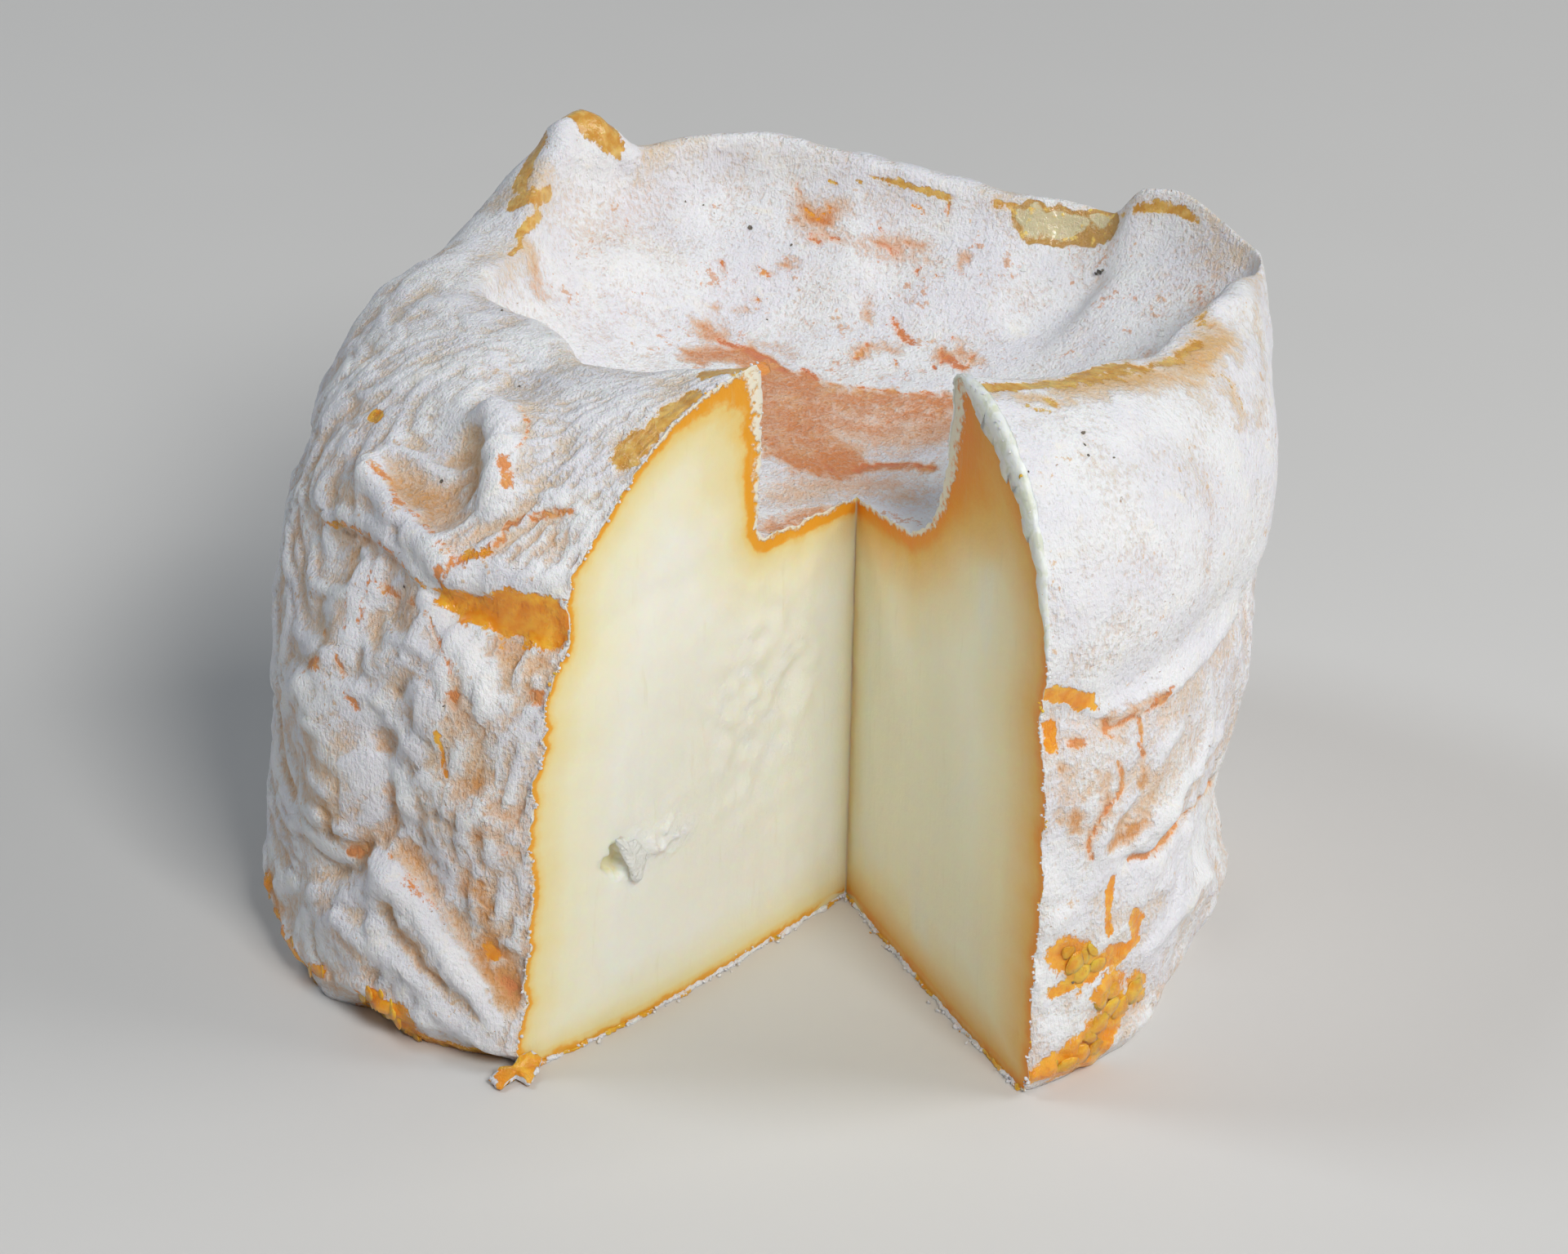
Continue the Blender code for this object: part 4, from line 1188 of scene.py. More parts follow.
def add_cut(body, cut, rim, ring):
    """Closes a cut with a face of paste. rim holds the rind's flat column beside it, and ring the
    indices round it. Gives the face's outline from the inner edge's top, over the rim and back
    along the foot."""
    aim, out = direction(cut), gap_side(cut)
    line = np.column_stack([rim[:, :2] @ aim, rim[:, 2]])
    under = np.column_stack([line[-1, 0] * np.array(BASE_RINGS), np.zeros(len(BASE_RINGS))])
    inner = np.column_stack([0 * INNER_HEIGHTS, INNER_HEIGHTS])
    outline = np.vstack([inner[-1:], line, under, inner[:1]])
    fine_at = on_cut((HOLE[0], ROUGH_CURD[0]), cut).mean(0) if cut == CUT_LEFT else None
    added, triangles = cut_face(np.vstack([outline, inner[1:-1]]), fine_at)
    depth = paste_depth(added, outline, cut)
    texture, white = face_texture(added, depth, cut)
    # Inside the torn hole the paste is made yellower: painted shade in the hole.
    depth = np.where(texture < -0.5, np.minimum(depth, HOLE_SHADE_DEPTH), depth)
    spots = warped(np.column_stack([added[:, :1] * aim, added[:, 1]])) + texture[:, None] * out
    spots = body.add(spots, side=float(cut == CUT_RIGHT), edge=depth, curd=white)
    index = np.concatenate([ring, spots])
    for triangle in triangles:
        a, b, c = body.vertices[index[triangle]]
        turned = np.cross(b - a, c - a) @ out < 0
        body.faces.append((*index[triangle[::-1] if turned else triangle], 1))
    return body.vertices[index[: len(outline)]]


def golden(depth, height, low, high, share):
    """The depth, less by a share from one height to another, so that the paste is golden there."""
    return depth * (1 - share * between(height, low, high))


def paste_depth(flat, outline, cut):
    """How deep under the rind flat places of a cut face are, as the paste's colour takes it."""
    crest, foot = ROWS_INSIDE + 1, ROWS_INSIDE + ROWS_OUTSIDE
    outer, inner = distance_to(flat, outline[crest : foot + 1]), distance_to(flat, outline[:crest])
    if cut == CUT_LEFT:
        outer = np.interp(outer, *np.transpose(LEFT_LINE))
    inner = golden(np.interp(inner, *np.transpose(HOLLOW_LINE)), flat[:, 1], *HOLLOW_GOLD)
    under = np.interp(distance_to(flat, outline[foot:]), *np.transpose(FOOT_LINE))
    tip = RIGHT_TIP_GOLD if cut == CUT_RIGHT else LEFT_TIP_GOLD
    depth = golden(np.minimum(outer, np.minimum(inner, under)), flat[:, 1], *tip)
    return np.minimum(depth, INNER_EDGE_DEPTH + INNER_EDGE_FALL * flat[:, 0])


def face_texture(flat, depth, cut):
    """How far the cut paste stands out at flat places, with drag marks of the knife and curd, and
    how white it is there."""
    solid = np.column_stack([flat, np.full(len(flat), cut)])
    drag = noise(solid * (1, 0.2, 1), 1.3, 121) * 0.05
    curd = rough(solid, 2.6, 3, 131) * 0.07
    texture = (drag + curd) * between(depth, 0.3, 2.0)
    white = np.zeros(len(flat))
    if cut == CUT_LEFT:
        marks = (HOLE, TORN_FLAP, ROUGH_CURD, RUFFLED)
        hole, torn, curd_at, ruffled = (
            np.hypot(*((flat - place) / size).T)
            for place, (_, size) in zip(on_cut([mark[0] for mark in marks], cut), marks)
        )
        wander = 0.45 * noise(solid, 0.8, 161)
        texture += 0.3 * np.exp(-((torn + wander) ** 4))
        texture -= 1.3 * (1 - between(hole + wander, 0.5, 1.1))
        clods = np.maximum(rough(solid, 1.3, 2, 171), -0.15)
        texture += (0.3 + 1.0 * clods) * np.exp(-(curd_at**4))
        ripples = slanted(np.column_stack([flat[:, 0], flat[:, 1], 0 * depth]), 40, 3.0)
        texture += 0.34 * (rough(solid, 1.7, 2, 175) + noise(ripples, 1.4, 177)) * np.exp(-(ruffled**2))
        white = 0.7 * np.exp(-((torn / 1.8) ** 2)) + 0.6 * np.exp(-((curd_at / 1.3) ** 2))
        white = np.clip(white + (0.3 + 0.7 * noise(solid, 2.2, 181)) * np.exp(-(ruffled**2)), 0, 1)
        white = white * between(hole + wander, 0.7, 1.2)
    return texture, white


# Materials

# The paste's colour from the rind inward, to a reach in millimetres, on the left and on the right
# cut face: (share of the reach, red, green, blue)
PASTE_REACH = 12.0
LEFT_PASTE = (
    (0.0, 236, 160, 34),
    (0.03, 236, 166, 46),
    (0.05, 236, 206, 126),
    (0.11, 236, 222, 168),
    (0.3, 240, 235, 206),
    (0.7, 243, 242, 231),
)
# The right face's ivory stops are lifted to make up for the shade that face stands in, which is painted
# light; its wider orange band under the rind is the paste's own.
RIGHT_PASTE = (
    (0.0, 240, 138, 0),
    (0.035, 236, 150, 22),
    (0.11, 236, 186, 94),
    (0.25, 240, 206, 138),
    (0.5, 244, 230, 186),
    (0.9, 247, 241, 213),
)


class Shader:
    """A Principled material built from nodes. Positions are in millimetres."""

    def __init__(self, name):
        self.material = bpy.data.materials.new(name)
        self.material.use_nodes = True
        self.tree = self.material.node_tree
        self.surface = self.tree.nodes["Principled BSDF"]
        place = self.add("ShaderNodeTexCoord").outputs["Object"]
        self.place = self.vector("SCALE", place, scale=1 / MM)

    def add(self, kind, inputs=(), **settings):
        node = self.tree.nodes.new(kind)
        for key, value in settings.items():
            setattr(node, key, value)
        for key, value in dict(inputs).items():
            self.put(node.inputs[key], value)
        return node

    def put(self, socket, value):
        if isinstance(value, bpy.types.NodeSocket):
            self.tree.links.new(value, socket)
        else:
            socket.default_value = value

    def vector(self, operation, one, two=None, scale=1.0):
        node = self.add("ShaderNodeVectorMath", operation=operation)
        self.put(node.inputs[0], one)
        if operation == "SCALE":
            node.inputs["Scale"].default_value = scale
        else:
            self.put(node.inputs[1], two)
        return node.outputs[0]

    def math(self, operation, one, two=0.0):
        return self.add("ShaderNodeMath", {0: one, 1: two}, operation=operation).outputs[0]

    def total(self, *terms):
        """A sum of (value, weight) terms and plain values."""
        result = 0.0
        for term in terms:
            if isinstance(term, tuple):
                term = self.math("MULTIPLY", *term)
            result = self.math("ADD", result, term)
        return result

    def field(self, name):
        return self.add("ShaderNodeAttribute", attribute_name=name).outputs["Fac"]

    def noise(self, size, detail=2.0, roughness=0.5, stretch=None, distortion=0.0):
        """Noise about zero, with lumps of about the size in millimetres."""
        place = self.place
        if stretch:
            place = self.vector("MULTIPLY", place, stretch)
        inputs = {"Vector": place, "Scale": 1 / size, "Detail": detail, "Roughness": roughness}
        inputs["Distortion"] = distortion
        return self.math("SUBTRACT", self.add("ShaderNodeTexNoise", inputs).outputs["Fac"], 0.5)

    def step(self, value, low, high):
        inputs = {"Value": value, "From Min": low, "From Max": high}
        return self.add("ShaderNodeMapRange", inputs, interpolation_type="SMOOTHSTEP").outputs["Result"]

    def mix(self, one, two, share):
        node = self.add("ShaderNodeMix", data_type="RGBA")
        for socket, value in ((node.inputs[6], one), (node.inputs[7], two), (node.inputs[0], share)):
            self.put(socket, value)
        return node.outputs[2]

    def blend(self, one, two, share):
        """A number between two numbers."""
        return self.add("ShaderNodeMix", {0: share, 2: one, 3: two}, data_type="FLOAT").outputs[0]

    def ramp(self, value, stops):
        """A colour read from stops: (place, red, green, blue)."""
        node = self.add("ShaderNodeValToRGB", {"Fac": value})
        stairs = node.color_ramp.elements
        while len(stairs) < len(stops):
            stairs.new(0.5)
        for stair, (at, *colour) in zip(stairs, stops):
            stair.position = at
            stair.color = tint(*colour)
        return node.outputs["Color"]

    def finish(self, colour, roughness, height, glow, radius, **sockets):
        """Sets the surface. height is a relief in millimetres, and glow how far light spreads."""
        self.put(self.surface.inputs["Base Color"], colour)
        self.put(self.surface.inputs["Roughness"], roughness)
        bump = self.add("ShaderNodeBump", {"Height": height, "Distance": MM, "Strength": 1.0})
        self.tree.links.new(bump.outputs["Normal"], self.surface.inputs["Normal"])
        self.put(self.surface.inputs["Subsurface Weight"], glow)
        self.surface.inputs["Subsurface Radius"].default_value = radius
        self.surface.inputs["Subsurface Scale"].default_value = MM
        for name, value in sockets.items():
            self.surface.inputs[name.replace("_", " ")].default_value = value
        return self.material


def tint(red, green, blue):
    """A colour given by the numbers 0 to 255 that a screen shows."""
    parts = [c / 255 for c in (red, green, blue)]
    return (*(c / 12.92 if c <= 0.04045 else ((c + 0.055) / 1.055) ** 2.4 for c in parts), 1.0)


def rind_material():
    """White powdery bloom over a thin orange skin, with bare glossy amber places. The bloom field
    also carries painted highlight and shade.
    """
    s = Shader("rind")
    bloom_light_and_shade, crack, bare = (s.field(name) for name in ("bloom_light_and_shade", "crack", "bare"))
    warm, chip = s.field("warm"), s.field("chip")
    fuzz = s.noise(0.24, 3.0, 0.6, stretch=(1, 1, 0.4))
    speckle = s.noise(0.5, 3.0, 0.65)
    patch = s.noise(2.2, 4.0, 0.6, distortion=0.6)
    cloud = s.noise(7.0, 3.0, 0.5)

    cover = s.total(bloom_light_and_shade, (fuzz, 0.7), (speckle, 0.75), (patch, 0.24), (cloud, 0.14))
    thick = s.step(cover, 0.34, 0.84)
    thin = s.step(cover, -0.08, 0.5)
    skin = s.mix(tint(224, 182, 122), tint(214, 126, 52), warm)
    skin = s.mix(skin, tint(228, 166, 96), s.step(patch, -0.05, 0.3))
    dusted = s.mix(tint(234, 214, 190), tint(234, 198, 174), warm)
    white = s.mix(tint(240, 240, 241), tint(232, 231, 236), s.step(cloud, -0.12, 0.12))
    white = s.mix(white, tint(243, 238, 228), s.step(patch, 0.05, 0.3))
    colour = s.mix(skin, dusted, thin)
    colour = s.mix(colour, white, thick)
    flecks = s.total((s.noise(0.8, 3.0, 0.6), 1.0), (s.noise(4.0, 2.0), 0.8), (fuzz, 0.5), (warm, 0.08))
    flecks = s.step(flecks, 0.24, 0.36)
    freckle = s.mix(tint(220, 180, 132), tint(216, 150, 104), s.step(warm, 0.4, 0.9))
    colour = s.mix(colour, freckle, s.math("MULTIPLY", flecks, 0.75))
    pits = s.total((s.noise(0.55, 2.0, 0.5, stretch=(1, 1, 1.8)), 1.0), (s.noise(3.0, 2.0), 0.4))
    pits = s.step(pits, 0.27, 0.31)
    colour = s.mix(colour, tint(204, 160, 122), s.math("MULTIPLY", pits, 0.8))
    torn = s.step(s.total(crack, (speckle, 1.1), (fuzz, 1.2)), 0.36, 0.74)
    red = s.mix(tint(226, 148, 88), tint(216, 120, 66), s.step(warm, 0.4, 1.0))
    colour = s.mix(colour, s.mix(red, tint(234, 170, 98), s.step(patch, -0.02, 0.2)), torn)

    glossy = s.step(s.total(bare, (patch, 0.4), (speckle, 0.8), (fuzz, 0.5)), 0.42, 0.6)
    lump = s.noise(0.9, 3.0, 0.55)
    grain = s.step(s.total(lump, (patch, 0.9)), -0.2, 0.3)
    amber = s.mix(tint(236, 148, 18), tint(250, 190, 58), grain)
    amber = s.mix(s.mix(tint(206, 150, 62), tint(230, 194, 112), grain), amber, s.step(warm, 0.05, 0.35))
    amber = s.mix(amber, tint(236, 136, 36), s.math("MULTIPLY", s.step(warm, 0.5, 0.95), 0.5))
    colour = s.mix(colour, amber, glossy)
    broken = s.step(s.total(chip, (patch, 0.3), (speckle, 0.3)), 0.36, 0.44)
    plate = s.step(s.total(chip, (patch, 0.9), (cloud, 0.6)), 0.56, 0.66)
    inner = s.mix(tint(192, 150, 84), tint(212, 200, 162), plate)
    colour = s.mix(colour, s.mix(inner, tint(236, 204, 110), s.step(lump, 0.08, 0.2)), broken)

    smooth_parts = s.math("MAXIMUM", glossy, broken)
    roughness = s.blend(s.blend(0.55, 0.88, thin), 0.2, smooth_parts)
    powder = s.total((fuzz, 0.2), (speckle, 0.2), (patch, 0.24))
    powder = s.math("MULTIPLY", powder, s.math("SUBTRACT", 1.0, smooth_parts))
    wet = s.math("MULTIPLY", s.total(-0.1, (lump, 0.16)), smooth_parts)
    relief = s.total((thick, 0.08), (thin, 0.06), (torn, -0.12), (pits, -0.12), powder, wet)
    glow = s.blend(0.1, 0.5, smooth_parts)
    return s.finish(colour, roughness, relief, glow, (1.2, 0.5, 0.2), Sheen_Weight=0.15)


def paste_material():
    """Smooth soft paste: ivory in the middle, and yellow to orange under the rind."""
    s = Shader("paste")
    edge, side, curd = s.field("edge"), s.field("side"), s.field("curd")
    grain = s.noise(0.35, 3.0, 0.6)
    patch = s.noise(3.0, 3.0, 0.5)
    ragged = s.noise(0.6, 3.0, 0.6)
    streak = s.noise(0.9, 3.0, 0.6, stretch=(1, 1, 0.12))
    cloud = s.noise(9.0, 3.0, 0.55, stretch=(1, 1, 0.5), distortion=0.8)
    depth = s.total(edge, (ragged, 0.5), (patch, 0.7))
    reach = s.math("DIVIDE", s.math("MAXIMUM", depth, 0.0), PASTE_REACH)
    colour = s.mix(s.ramp(reach, LEFT_PASTE), s.ramp(reach, RIGHT_PASTE), side)
    pale = s.math("MULTIPLY", s.step(cloud, 0.0, 0.25), s.step(edge, 3.0, 8.0))
    colour = s.mix(colour, tint(240, 238, 222), s.math("MULTIPLY", pale, 0.6))
    colour = s.mix(colour, tint(214, 200, 150), s.math("MULTIPLY", s.step(streak, 0.1, 0.35), 0.25))
    colour = s.mix(colour, tint(240, 241, 237), s.step(s.total(curd, (ragged, 0.4), (patch, 0.3)), 0.2, 0.7))
    crust = s.step(s.total(edge, (ragged, 0.45)), 0.14, 0.03)
    colour = s.mix(colour, tint(240, 232, 212), crust)
    rough_curd = s.math("MULTIPLY", s.total((ragged, 0.3), (grain, 0.12)), curd)
    relief = s.total((grain, 0.03), (streak, 0.035), (patch, 0.05), (crust, 0.1), rough_curd)
    glow = s.blend(s.blend(0.3, 0.9, s.step(edge, 0.6, 3.0)), 0.12, curd)
    roughness = s.blend(s.blend(0.4, 0.7, curd), 0.85, crust)
    return s.finish(colour, roughness, relief, glow, (1.5, 1.0, 0.5))


def smear_material():
    """A thin layer of moist, pale greenish paste."""
    s = Shader("smeared paste")
    veil = s.noise(1.6, 3.0, 0.6, distortion=0.6)
    colour = s.mix(tint(218, 222, 204), tint(236, 239, 232), s.step(veil, -0.14, 0.06))
    relief = s.total((s.noise(0.4, 3.0, 0.6), 0.05), (veil, 0.12))
    return s.finish(colour, 0.36, relief, 0.6, (1.2, 1.0, 0.6))


def speck_material():
    """Small dark grey-brown grains."""
    s = Shader("dark specks")
    colour = s.mix(tint(74, 70, 66), tint(122, 112, 98), s.step(s.noise(0.3, 2.0), -0.1, 0.1))
    return s.finish(colour, 0.7, s.total((s.noise(0.1, 2.0), 0.05)), 0.0, (0, 0, 0))


# Pieces

def to_frame(points):
    """Millimetres about the inner edge as metres of the shared frame. The body's box is fitted
    to the solid's, which its fine relief alters by a few tenths of a millimetre."""
    return (np.asarray(points) - body_low) * frame_scale + np.array(cad_box[0])


def make_piece(name, points, faces, materials, fields=()):
    """A smooth mesh object that rides on the body. Each face ends with its material's index."""
    mesh = bpy.data.meshes.new(name)
    mesh.from_pydata([tuple(p) for p in to_frame(points)], [], [tuple(map(int, f[:-1])) for f in faces])
    for made in materials:
        mesh.materials.append(made)
    mesh.polygons.foreach_set("material_index", [f[-1] for f in faces])
    for key, values in dict(fields).items():
        mesh.attributes.new(key, "FLOAT", "POINT").data.foreach_set("value", values.astype(np.float32))
    mesh.shade_smooth()
    mesh.update()
    piece = bpy.data.objects.new(name, mesh)
    bpy.context.scene.collection.objects.link(piece)
    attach(piece, "root")
    return piece


def sharpen_cuts(mesh):
    """Makes the edges between rind and paste sharp."""
    edges = bmesh.new()
    edges.from_mesh(mesh)
    for edge in edges.edges:
        if len({face.material_index for face in edge.link_faces}) == 2:
            edge.smooth = False
    edges.to_mesh(mesh)
    edges.free()


body, cut_outlines, rind_at = body_mesh()
body_low, body_high = body.vertices.min(0), body.vertices.max(0)
frame_scale = np.array(cad_box[1] - cad_box[0]) / (body_high - body_low)
inner_box = (body_low + 0.02, body_high - 0.02)
rind_look, paste_look, smear_look = rind_material(), paste_material(), smear_material()
cheese = make_piece("cheese_body", body.vertices, body.faces, (rind_look, paste_look), body.fields)
sharpen_cuts(cheese.data)
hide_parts("cheese")


# Small pieces

def lump_shape(detail):
    """The points and triangles of a round lump of radius 1."""
    ball = bmesh.new()
    bmesh.ops.create_icosphere(ball, subdivisions=detail, radius=1.0)
    points = np.array([vertex.co for vertex in ball.verts])
    triangles = np.array([[vertex.index for vertex in face.verts] for face in ball.faces])
    ball.free()
    return points, triangles


def lumps(places, sizes, seed, flat=None, detail=1):
    """Joined uneven lumps at the places. Where flat gives normals, they are flattened along them."""
    round_points, triangles = lump_shape(detail)
    chance = np.random.default_rng(seed)
    points, faces = [], []
    for k, (place, size) in enumerate(zip(places, sizes)):
        shape = round_points * chance.uniform(0.6, 1.3, 3)
        shape = shape @ np.linalg.qr(chance.normal(size=(3, 3)))[0]
        if detail == 1:
            shape *= 1 + 0.35 * chance.uniform(-1, 1, (len(shape), 1))
        else:
            shape *= 1 + 0.4 * noise(shape + 9.0 * k, 0.9, 191)[:, None]
        if flat is not None:
            shape -= 0.85 * np.outer(shape @ flat[k], flat[k])
        faces += [(*(corner + len(round_points) * k for corner in triangle), 0) for triangle in triangles]
        points.append(place + size * shape)
    return np.vstack(points), faces


def lengths(line):
    """The lengths along a line of points up to each of them."""
    return np.concatenate(([0], np.cumsum(np.linalg.norm(np.diff(line, axis=0), axis=1))))


def along(line, shares):
    """Points on a line of points, at shares of its length."""
    length = lengths(line)
    return np.column_stack([np.interp(shares * length[-1], length, line[:, k]) for k in range(3)])


def how_many(line, spacing):
    """How many points at the spacing a line of points takes."""
    return int(np.linalg.norm(np.diff(line, axis=0), axis=1).sum() / spacing) + 2


def ribbon(rings):
    """Points and faces of a closed strip through rings of points that have a count in common."""
    count, sides = rings.shape[:2]
    index = np.arange(count * sides).reshape(count, sides)
    after = np.roll(index, -1, axis=1)
    quads = np.stack([index[:-1], after[:-1], after[1:], index[1:]], -1).reshape(-1, 4)
    ends = ((*index[0][::-1], 0), (*index[-1], 0))
    return rings.reshape(-1, 3), [(*quad, 0) for quad in quads] + list(ends)


def joined(parts):
    """The points and faces of several (points, faces) as one."""
    points, faces = [], []
    for made, polygons in parts:
        start = sum(len(p) for p in points)
        faces += [(*(corner + start for corner in polygon[:-1]), polygon[-1]) for polygon in polygons]
        points.append(made)
    return np.vstack(points), faces


def make_fringe():
    """The rind's ragged white edge, which lies at the foot of both cut faces."""
    strips = []
    for cut, outline in cut_outlines:
        line = outline[ROWS_INSIDE + ROWS_OUTSIDE :]
        line = along(line, np.linspace(0.004, 0.996, how_many(line, 0.11)))
        out = gap_side(cut)
        reach = 0.24 + 0.24 * rough(line, 2.4, 4, 231) + 0.14 * noise(line, 0.35, 241)
        reach = np.clip(reach, 0.05, 0.7)[:, None] * out
        high = UP * (0.3 + 0.2 * rough(line, 0.9, 3, 251))[:, None]
        flat = line * (1, 1, 0)
        back = (flat - 0.4 * out, flat + high * 1.1 - 0.25 * out)
        front = (flat + 0.45 * reach + high, flat + reach + 0.4 * high, flat + reach * 0.9)
        strips.append(ribbon(np.stack([*back, *front], 1)))
    points, faces = joined(strips)
    bare = np.clip(noise(points, 3.0, 211) + 0.4, 0, 0.8)
    finish_rind_piece("cut_fringe", points, faces, 0.86, bare, 0.3)


def make_crumbs():
    """Crumbs of the torn rind along the cut faces' edges."""
    places, sizes = [], []
    chance = np.random.default_rng(5)
    crest, foot = ROWS_INSIDE + 1, ROWS_INSIDE + ROWS_OUTSIDE
    for cut, outline in cut_outlines:
        for line, spacing, size, spread in (
            (outline[foot:], 0.45, 0.16, 0.28),
            (outline[2:crest], 0.9, 0.1, 0.07),
            (outline[crest:foot], 0.4, 0.13, 0.09),
        ):
            made = along(line, chance.uniform(0, 1, how_many(line, spacing)))
            made = made + chance.normal(size=made.shape) * spread
            made += 0.5 * spread * gap_side(cut)
            grown = size * chance.uniform(0.4, 1.3, len(made))
            made[:, 2] = np.maximum(made[:, 2], grown * 0.9)
            places.append(made)
            sizes.append(grown)
    points, faces = lumps(np.vstack(places), np.concatenate(sizes), 9)
    bare = 0.9 * (noise(points, 2.5, 211) > 0.5)
    finish_rind_piece("cut_crumbs", points, faces, 0.9, bare, 0.3)


def make_smear():
    """Pale paste smeared over the edge of the right cut, from the tip downward."""
    edge = rind_at.grid[0]
    down = rind_at.down[0]
    rows = np.flatnonzero((down > SMEAR[0][0]) & (down < SMEAR[-1][0]))
    out = gap_side(CUT_RIGHT)
    inward = np.cross(np.gradient(edge, axis=0), out)
    inward /= np.linalg.norm(inward, axis=1, keepdims=True)
    if inward[rows[-1]] @ np.append(direction(CUT_RIGHT), 0) > 0:
        inward = -inward
    rings = []
    for row in rows:
        wobble = 1 + 0.3 * float(noise(edge[row], 1.8, 261))
        on_face = float(smooth(SMEAR, 1, down[row])) * wobble
        on_rind = float(smooth(SMEAR, 2, down[row])) * (2 - wobble)
        strip = rind_at.grid[:SMEAR_COLUMNS, row]
        reach = lengths(strip)
        behind = [np.array([np.interp(on_rind * k, reach, strip[:, j]) for j in range(3)]) for k in (0.5, 1)]
        up = rind_at.out[0, row] if down[row] > -1 else rind_at.out[0, row] * 0.5
        thick = min(0.25, 0.16 * on_face + 0.1)
        rings.append(
            (
                edge[row] + inward[row] * on_face - out * 0.1,
                edge[row] + inward[row] * on_face * 0.8 + out * thick * 0.7,
                edge[row] + inward[row] * on_face * 0.35 + out * thick,
                edge[row] + (out + up) * 0.6 * thick,
                behind[0] + up * thick,
                behind[1] - up * 0.15,
                edge[row] - up * 0.4 - out * 0.3,
            )
        )
    points, faces = ribbon(np.array(rings))
    piece = make_piece("edge_smear", np.clip(points, *inner_box), faces, (smear_look,))


def sheet(outline, lift, thickness):
    """Points and faces of a thin uneven sheet, with each point's share from the middle to the rim.
    lift gives the height direction."""
    middle = outline.mean(0)
    layers, shares = [], []
    for share, rise in SHEET_RINGS:
        ring = middle + share * (outline - middle)
        layers.append(ring + lift * (rise * thickness * (1 + 0.5 * noise(ring, 1.0, 271)))[:, None])
        shares += [share] * len(outline)
    return *ribbon(np.array(layers)), np.array(shares)


def ragged_outline(corners, spacing, wobble, seed):
    """A closed outline through the corners, with points at the spacing and a torn edge."""
    closed = np.vstack([corners, corners[:1]])
    count = how_many(closed, spacing)
    line = along(closed, np.arange(count) / count)
    return line + wobble * np.stack([noise(line, 0.6, seed + k) for k in (0, 5, 10)], 1)


def make_face_flap():
    """The white flap of paste that is torn out beside the hole in the left face."""
    flat = on_cut(FACE_FLAP, CUT_LEFT)
    aim, out = np.append(direction(CUT_LEFT), 0), gap_side(CUT_LEFT)
    corners = warped(flat[:, :1] * aim + flat[:, 1:] * UP)
    share = between(flat[:, 0], flat[:, 0].min(), flat[:, 0].max())
    corners = corners + (0.15 + 0.7 * share)[:, None] * out
    points, faces, _ = sheet(ragged_outline(corners, 0.2, 0.14, 281), out, 0.4)
    finish_paste_piece("torn_curd", points, faces)


def make_crumbs_of_paste():
    """Pale crumbs of paste that lie on the rind."""
    places = rind_at.under([place for place, _ in PALE_CRUMBS])
    points, faces = lumps(places, [size for _, size in PALE_CRUMBS], 14, rind_at.facing(places), 2)
    finish_paste_piece("pale_crumbs", points, faces)


def make_foot_flap():
    """The torn tongue of bare rind that lies before the left cut's foot."""
    place = camera_axes()[0]
    lines = sight_lines(FOOT_FLAP)
    heights = np.array(FOOT_FLAP_HEIGHTS)
    corners = place + lines * ((heights - place[2]) / lines[:, 2])[:, None]
    outline = ragged_outline(corners, 0.2, 0.12, 291)
    points, faces, shares = sheet(outline, UP, 0.5)
    points[:, 2] = np.maximum(points[:, 2], 0.05)
    white = between(shares + 0.2 * noise(points, 0.8, 301), 0.86, 0.97)
    finish_rind_piece("foot_flap", points, faces, 0.2 + 0.8 * white, 1.2 * (1 - white), 0.6)


def make_beads():
    """Glossy amber beads of bare rind at the foot and low on the right wall."""
    places = rind_at.under([place for place, _ in BEADS])
    points, faces = lumps(places, [1.25 * size for _, size in BEADS], 16, rind_at.facing(places), 2)
    points[:, 2] = np.maximum(points[:, 2], 0.05)
    bare = 1.2 - 0.9 * (noise(points, 1.1, 311) > 0.75)
    finish_rind_piece("amber_beads", points, faces, 0.8, bare, 0.4)


def make_specks():
    """Dark specks that lie on the rind."""
    places = rind_at.under([place for place, _ in SPECKS])
    points, faces = lumps(places, [size for _, size in SPECKS], 18)
    piece = make_piece("dark_specks", np.clip(points, *inner_box), faces, (speck_material(),))


def finish_paste_piece(name, points, faces):
    """A small white piece of paste, inside the cheese's own box."""
    points = np.clip(points, *inner_box)
    fields = {"edge": 9.0, "side": 0.0, "curd": 1.0}
    fields = {key: np.full(len(points), value) for key, value in fields.items()}
    make_piece(name, points, faces, (paste_look,), fields)


def finish_rind_piece(name, points, faces, bloom_light_and_shade, bare, warm):
    """A small piece with the rind's material and its fields, inside the cheese's own box."""
    points = np.clip(points, *inner_box)
    fields = {"bloom_light_and_shade": bloom_light_and_shade, "crack": 0.0, "bare": bare, "warm": warm, "chip": 0.0}
    fields = {key: np.broadcast_to(value, len(points)).astype(float) for key, value in fields.items()}
    make_piece(name, points, faces, (rind_look,), fields)


make_fringe()
make_crumbs()
make_smear()
make_face_flap()
make_foot_flap()
make_beads()
make_crumbs_of_paste()
make_specks()


# Floor, camera and light, in metres

FLOOR_REACH = 3.0
NEAR, FAR = 0.01, 10
AIM = (0, 0, 0.03)
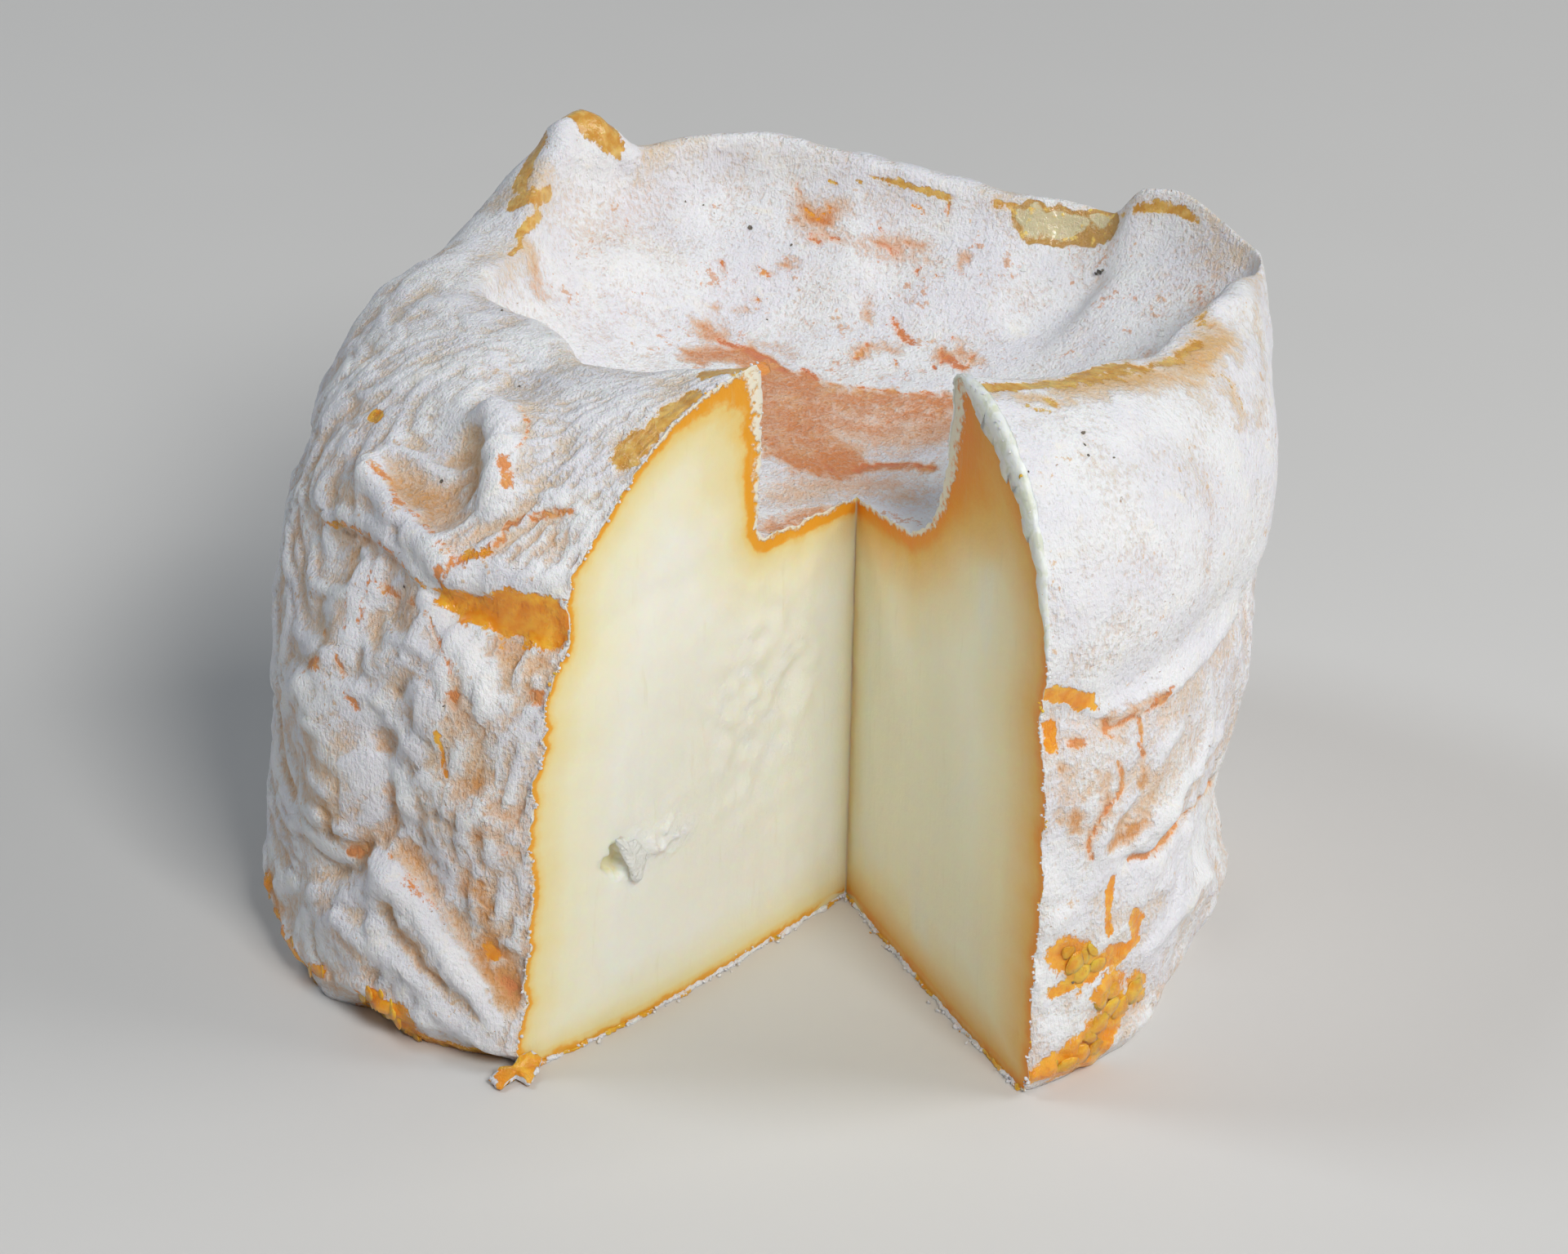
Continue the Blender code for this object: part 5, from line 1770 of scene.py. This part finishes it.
# Square lights that face the cheese: (place, size, power, colour)
LIGHTS = {
    "key": ((0.36, -0.74, 0.74), 0.36, 7.4, (1.0, 0.99, 0.97)),
    "side": ((0.8, 0.0, 0.7), 0.5, 3.7, (1.0, 1.0, 1.0)),
    "window": ((-0.55, 0.1, 0.8), 0.25, 1.9, (0.82, 0.91, 1.0)),
}
SKY, SKY_STRENGTH = (0.86, 0.92, 1.0, 1), 0.12


def make_floor():
    """A plain pale floor."""
    s = Shader("pale floor")
    colour = s.mix(tint(212, 210, 207), tint(217, 215, 212), s.noise(40.0, 2.0))
    look = s.finish(colour, 0.8, 0.0, 0.0, (0, 0, 0))
    mesh = bpy.data.meshes.new("floor")
    corners = [(x * FLOOR_REACH, y * FLOOR_REACH, 0) for x, y in ((-1, -1), (1, -1), (1, 1), (-1, 1))]
    mesh.from_pydata(corners, [], [(0, 1, 2, 3)])
    mesh.materials.append(look)
    floor = bpy.data.objects.new("floor", mesh)
    bpy.context.scene.collection.objects.link(floor)


def make_camera():
    """The photograph's camera."""
    place, right, up, forward = camera_axes()
    lens = bpy.data.cameras.new("camera")
    lens.sensor_width = SENSOR_WIDTH
    lens.lens = PIXELS_PER_MM * CAMERA_DISTANCE * SENSOR_WIDTH / IMAGE[0]
    lens.clip_start, lens.clip_end = NEAR, FAR
    camera = bpy.data.objects.new("camera", lens)
    turn = Matrix(np.column_stack([right, up, -forward]).tolist()).to_4x4()
    camera.matrix_world = Matrix.Translation(Vector(to_frame(place))) @ turn
    bpy.context.scene.collection.objects.link(camera)
    bpy.context.scene.camera = camera


def make_light(name, place, size, power, tone):
    """A soft square light that faces the cheese."""
    light = bpy.data.lights.new(name, "AREA")
    light.size, light.energy, light.color = size, power, tone
    lamp = bpy.data.objects.new(name, light)
    lamp.location = place
    lamp.rotation_euler = (Vector(AIM) - Vector(place)).to_track_quat("-Z", "Y").to_euler()
    bpy.context.scene.collection.objects.link(lamp)


def make_world():
    """Dim bluish light from all around."""
    world = bpy.data.worlds.new("soft room")
    world.use_nodes = True
    world.node_tree.nodes["Background"].inputs["Color"].default_value = SKY
    world.node_tree.nodes["Background"].inputs["Strength"].default_value = SKY_STRENGTH
    bpy.context.scene.world = world
    bpy.context.scene.view_settings.view_transform = "Standard"


make_floor()
make_camera()
for light_name, light_values in LIGHTS.items():
    make_light(light_name, *light_values)
make_world()
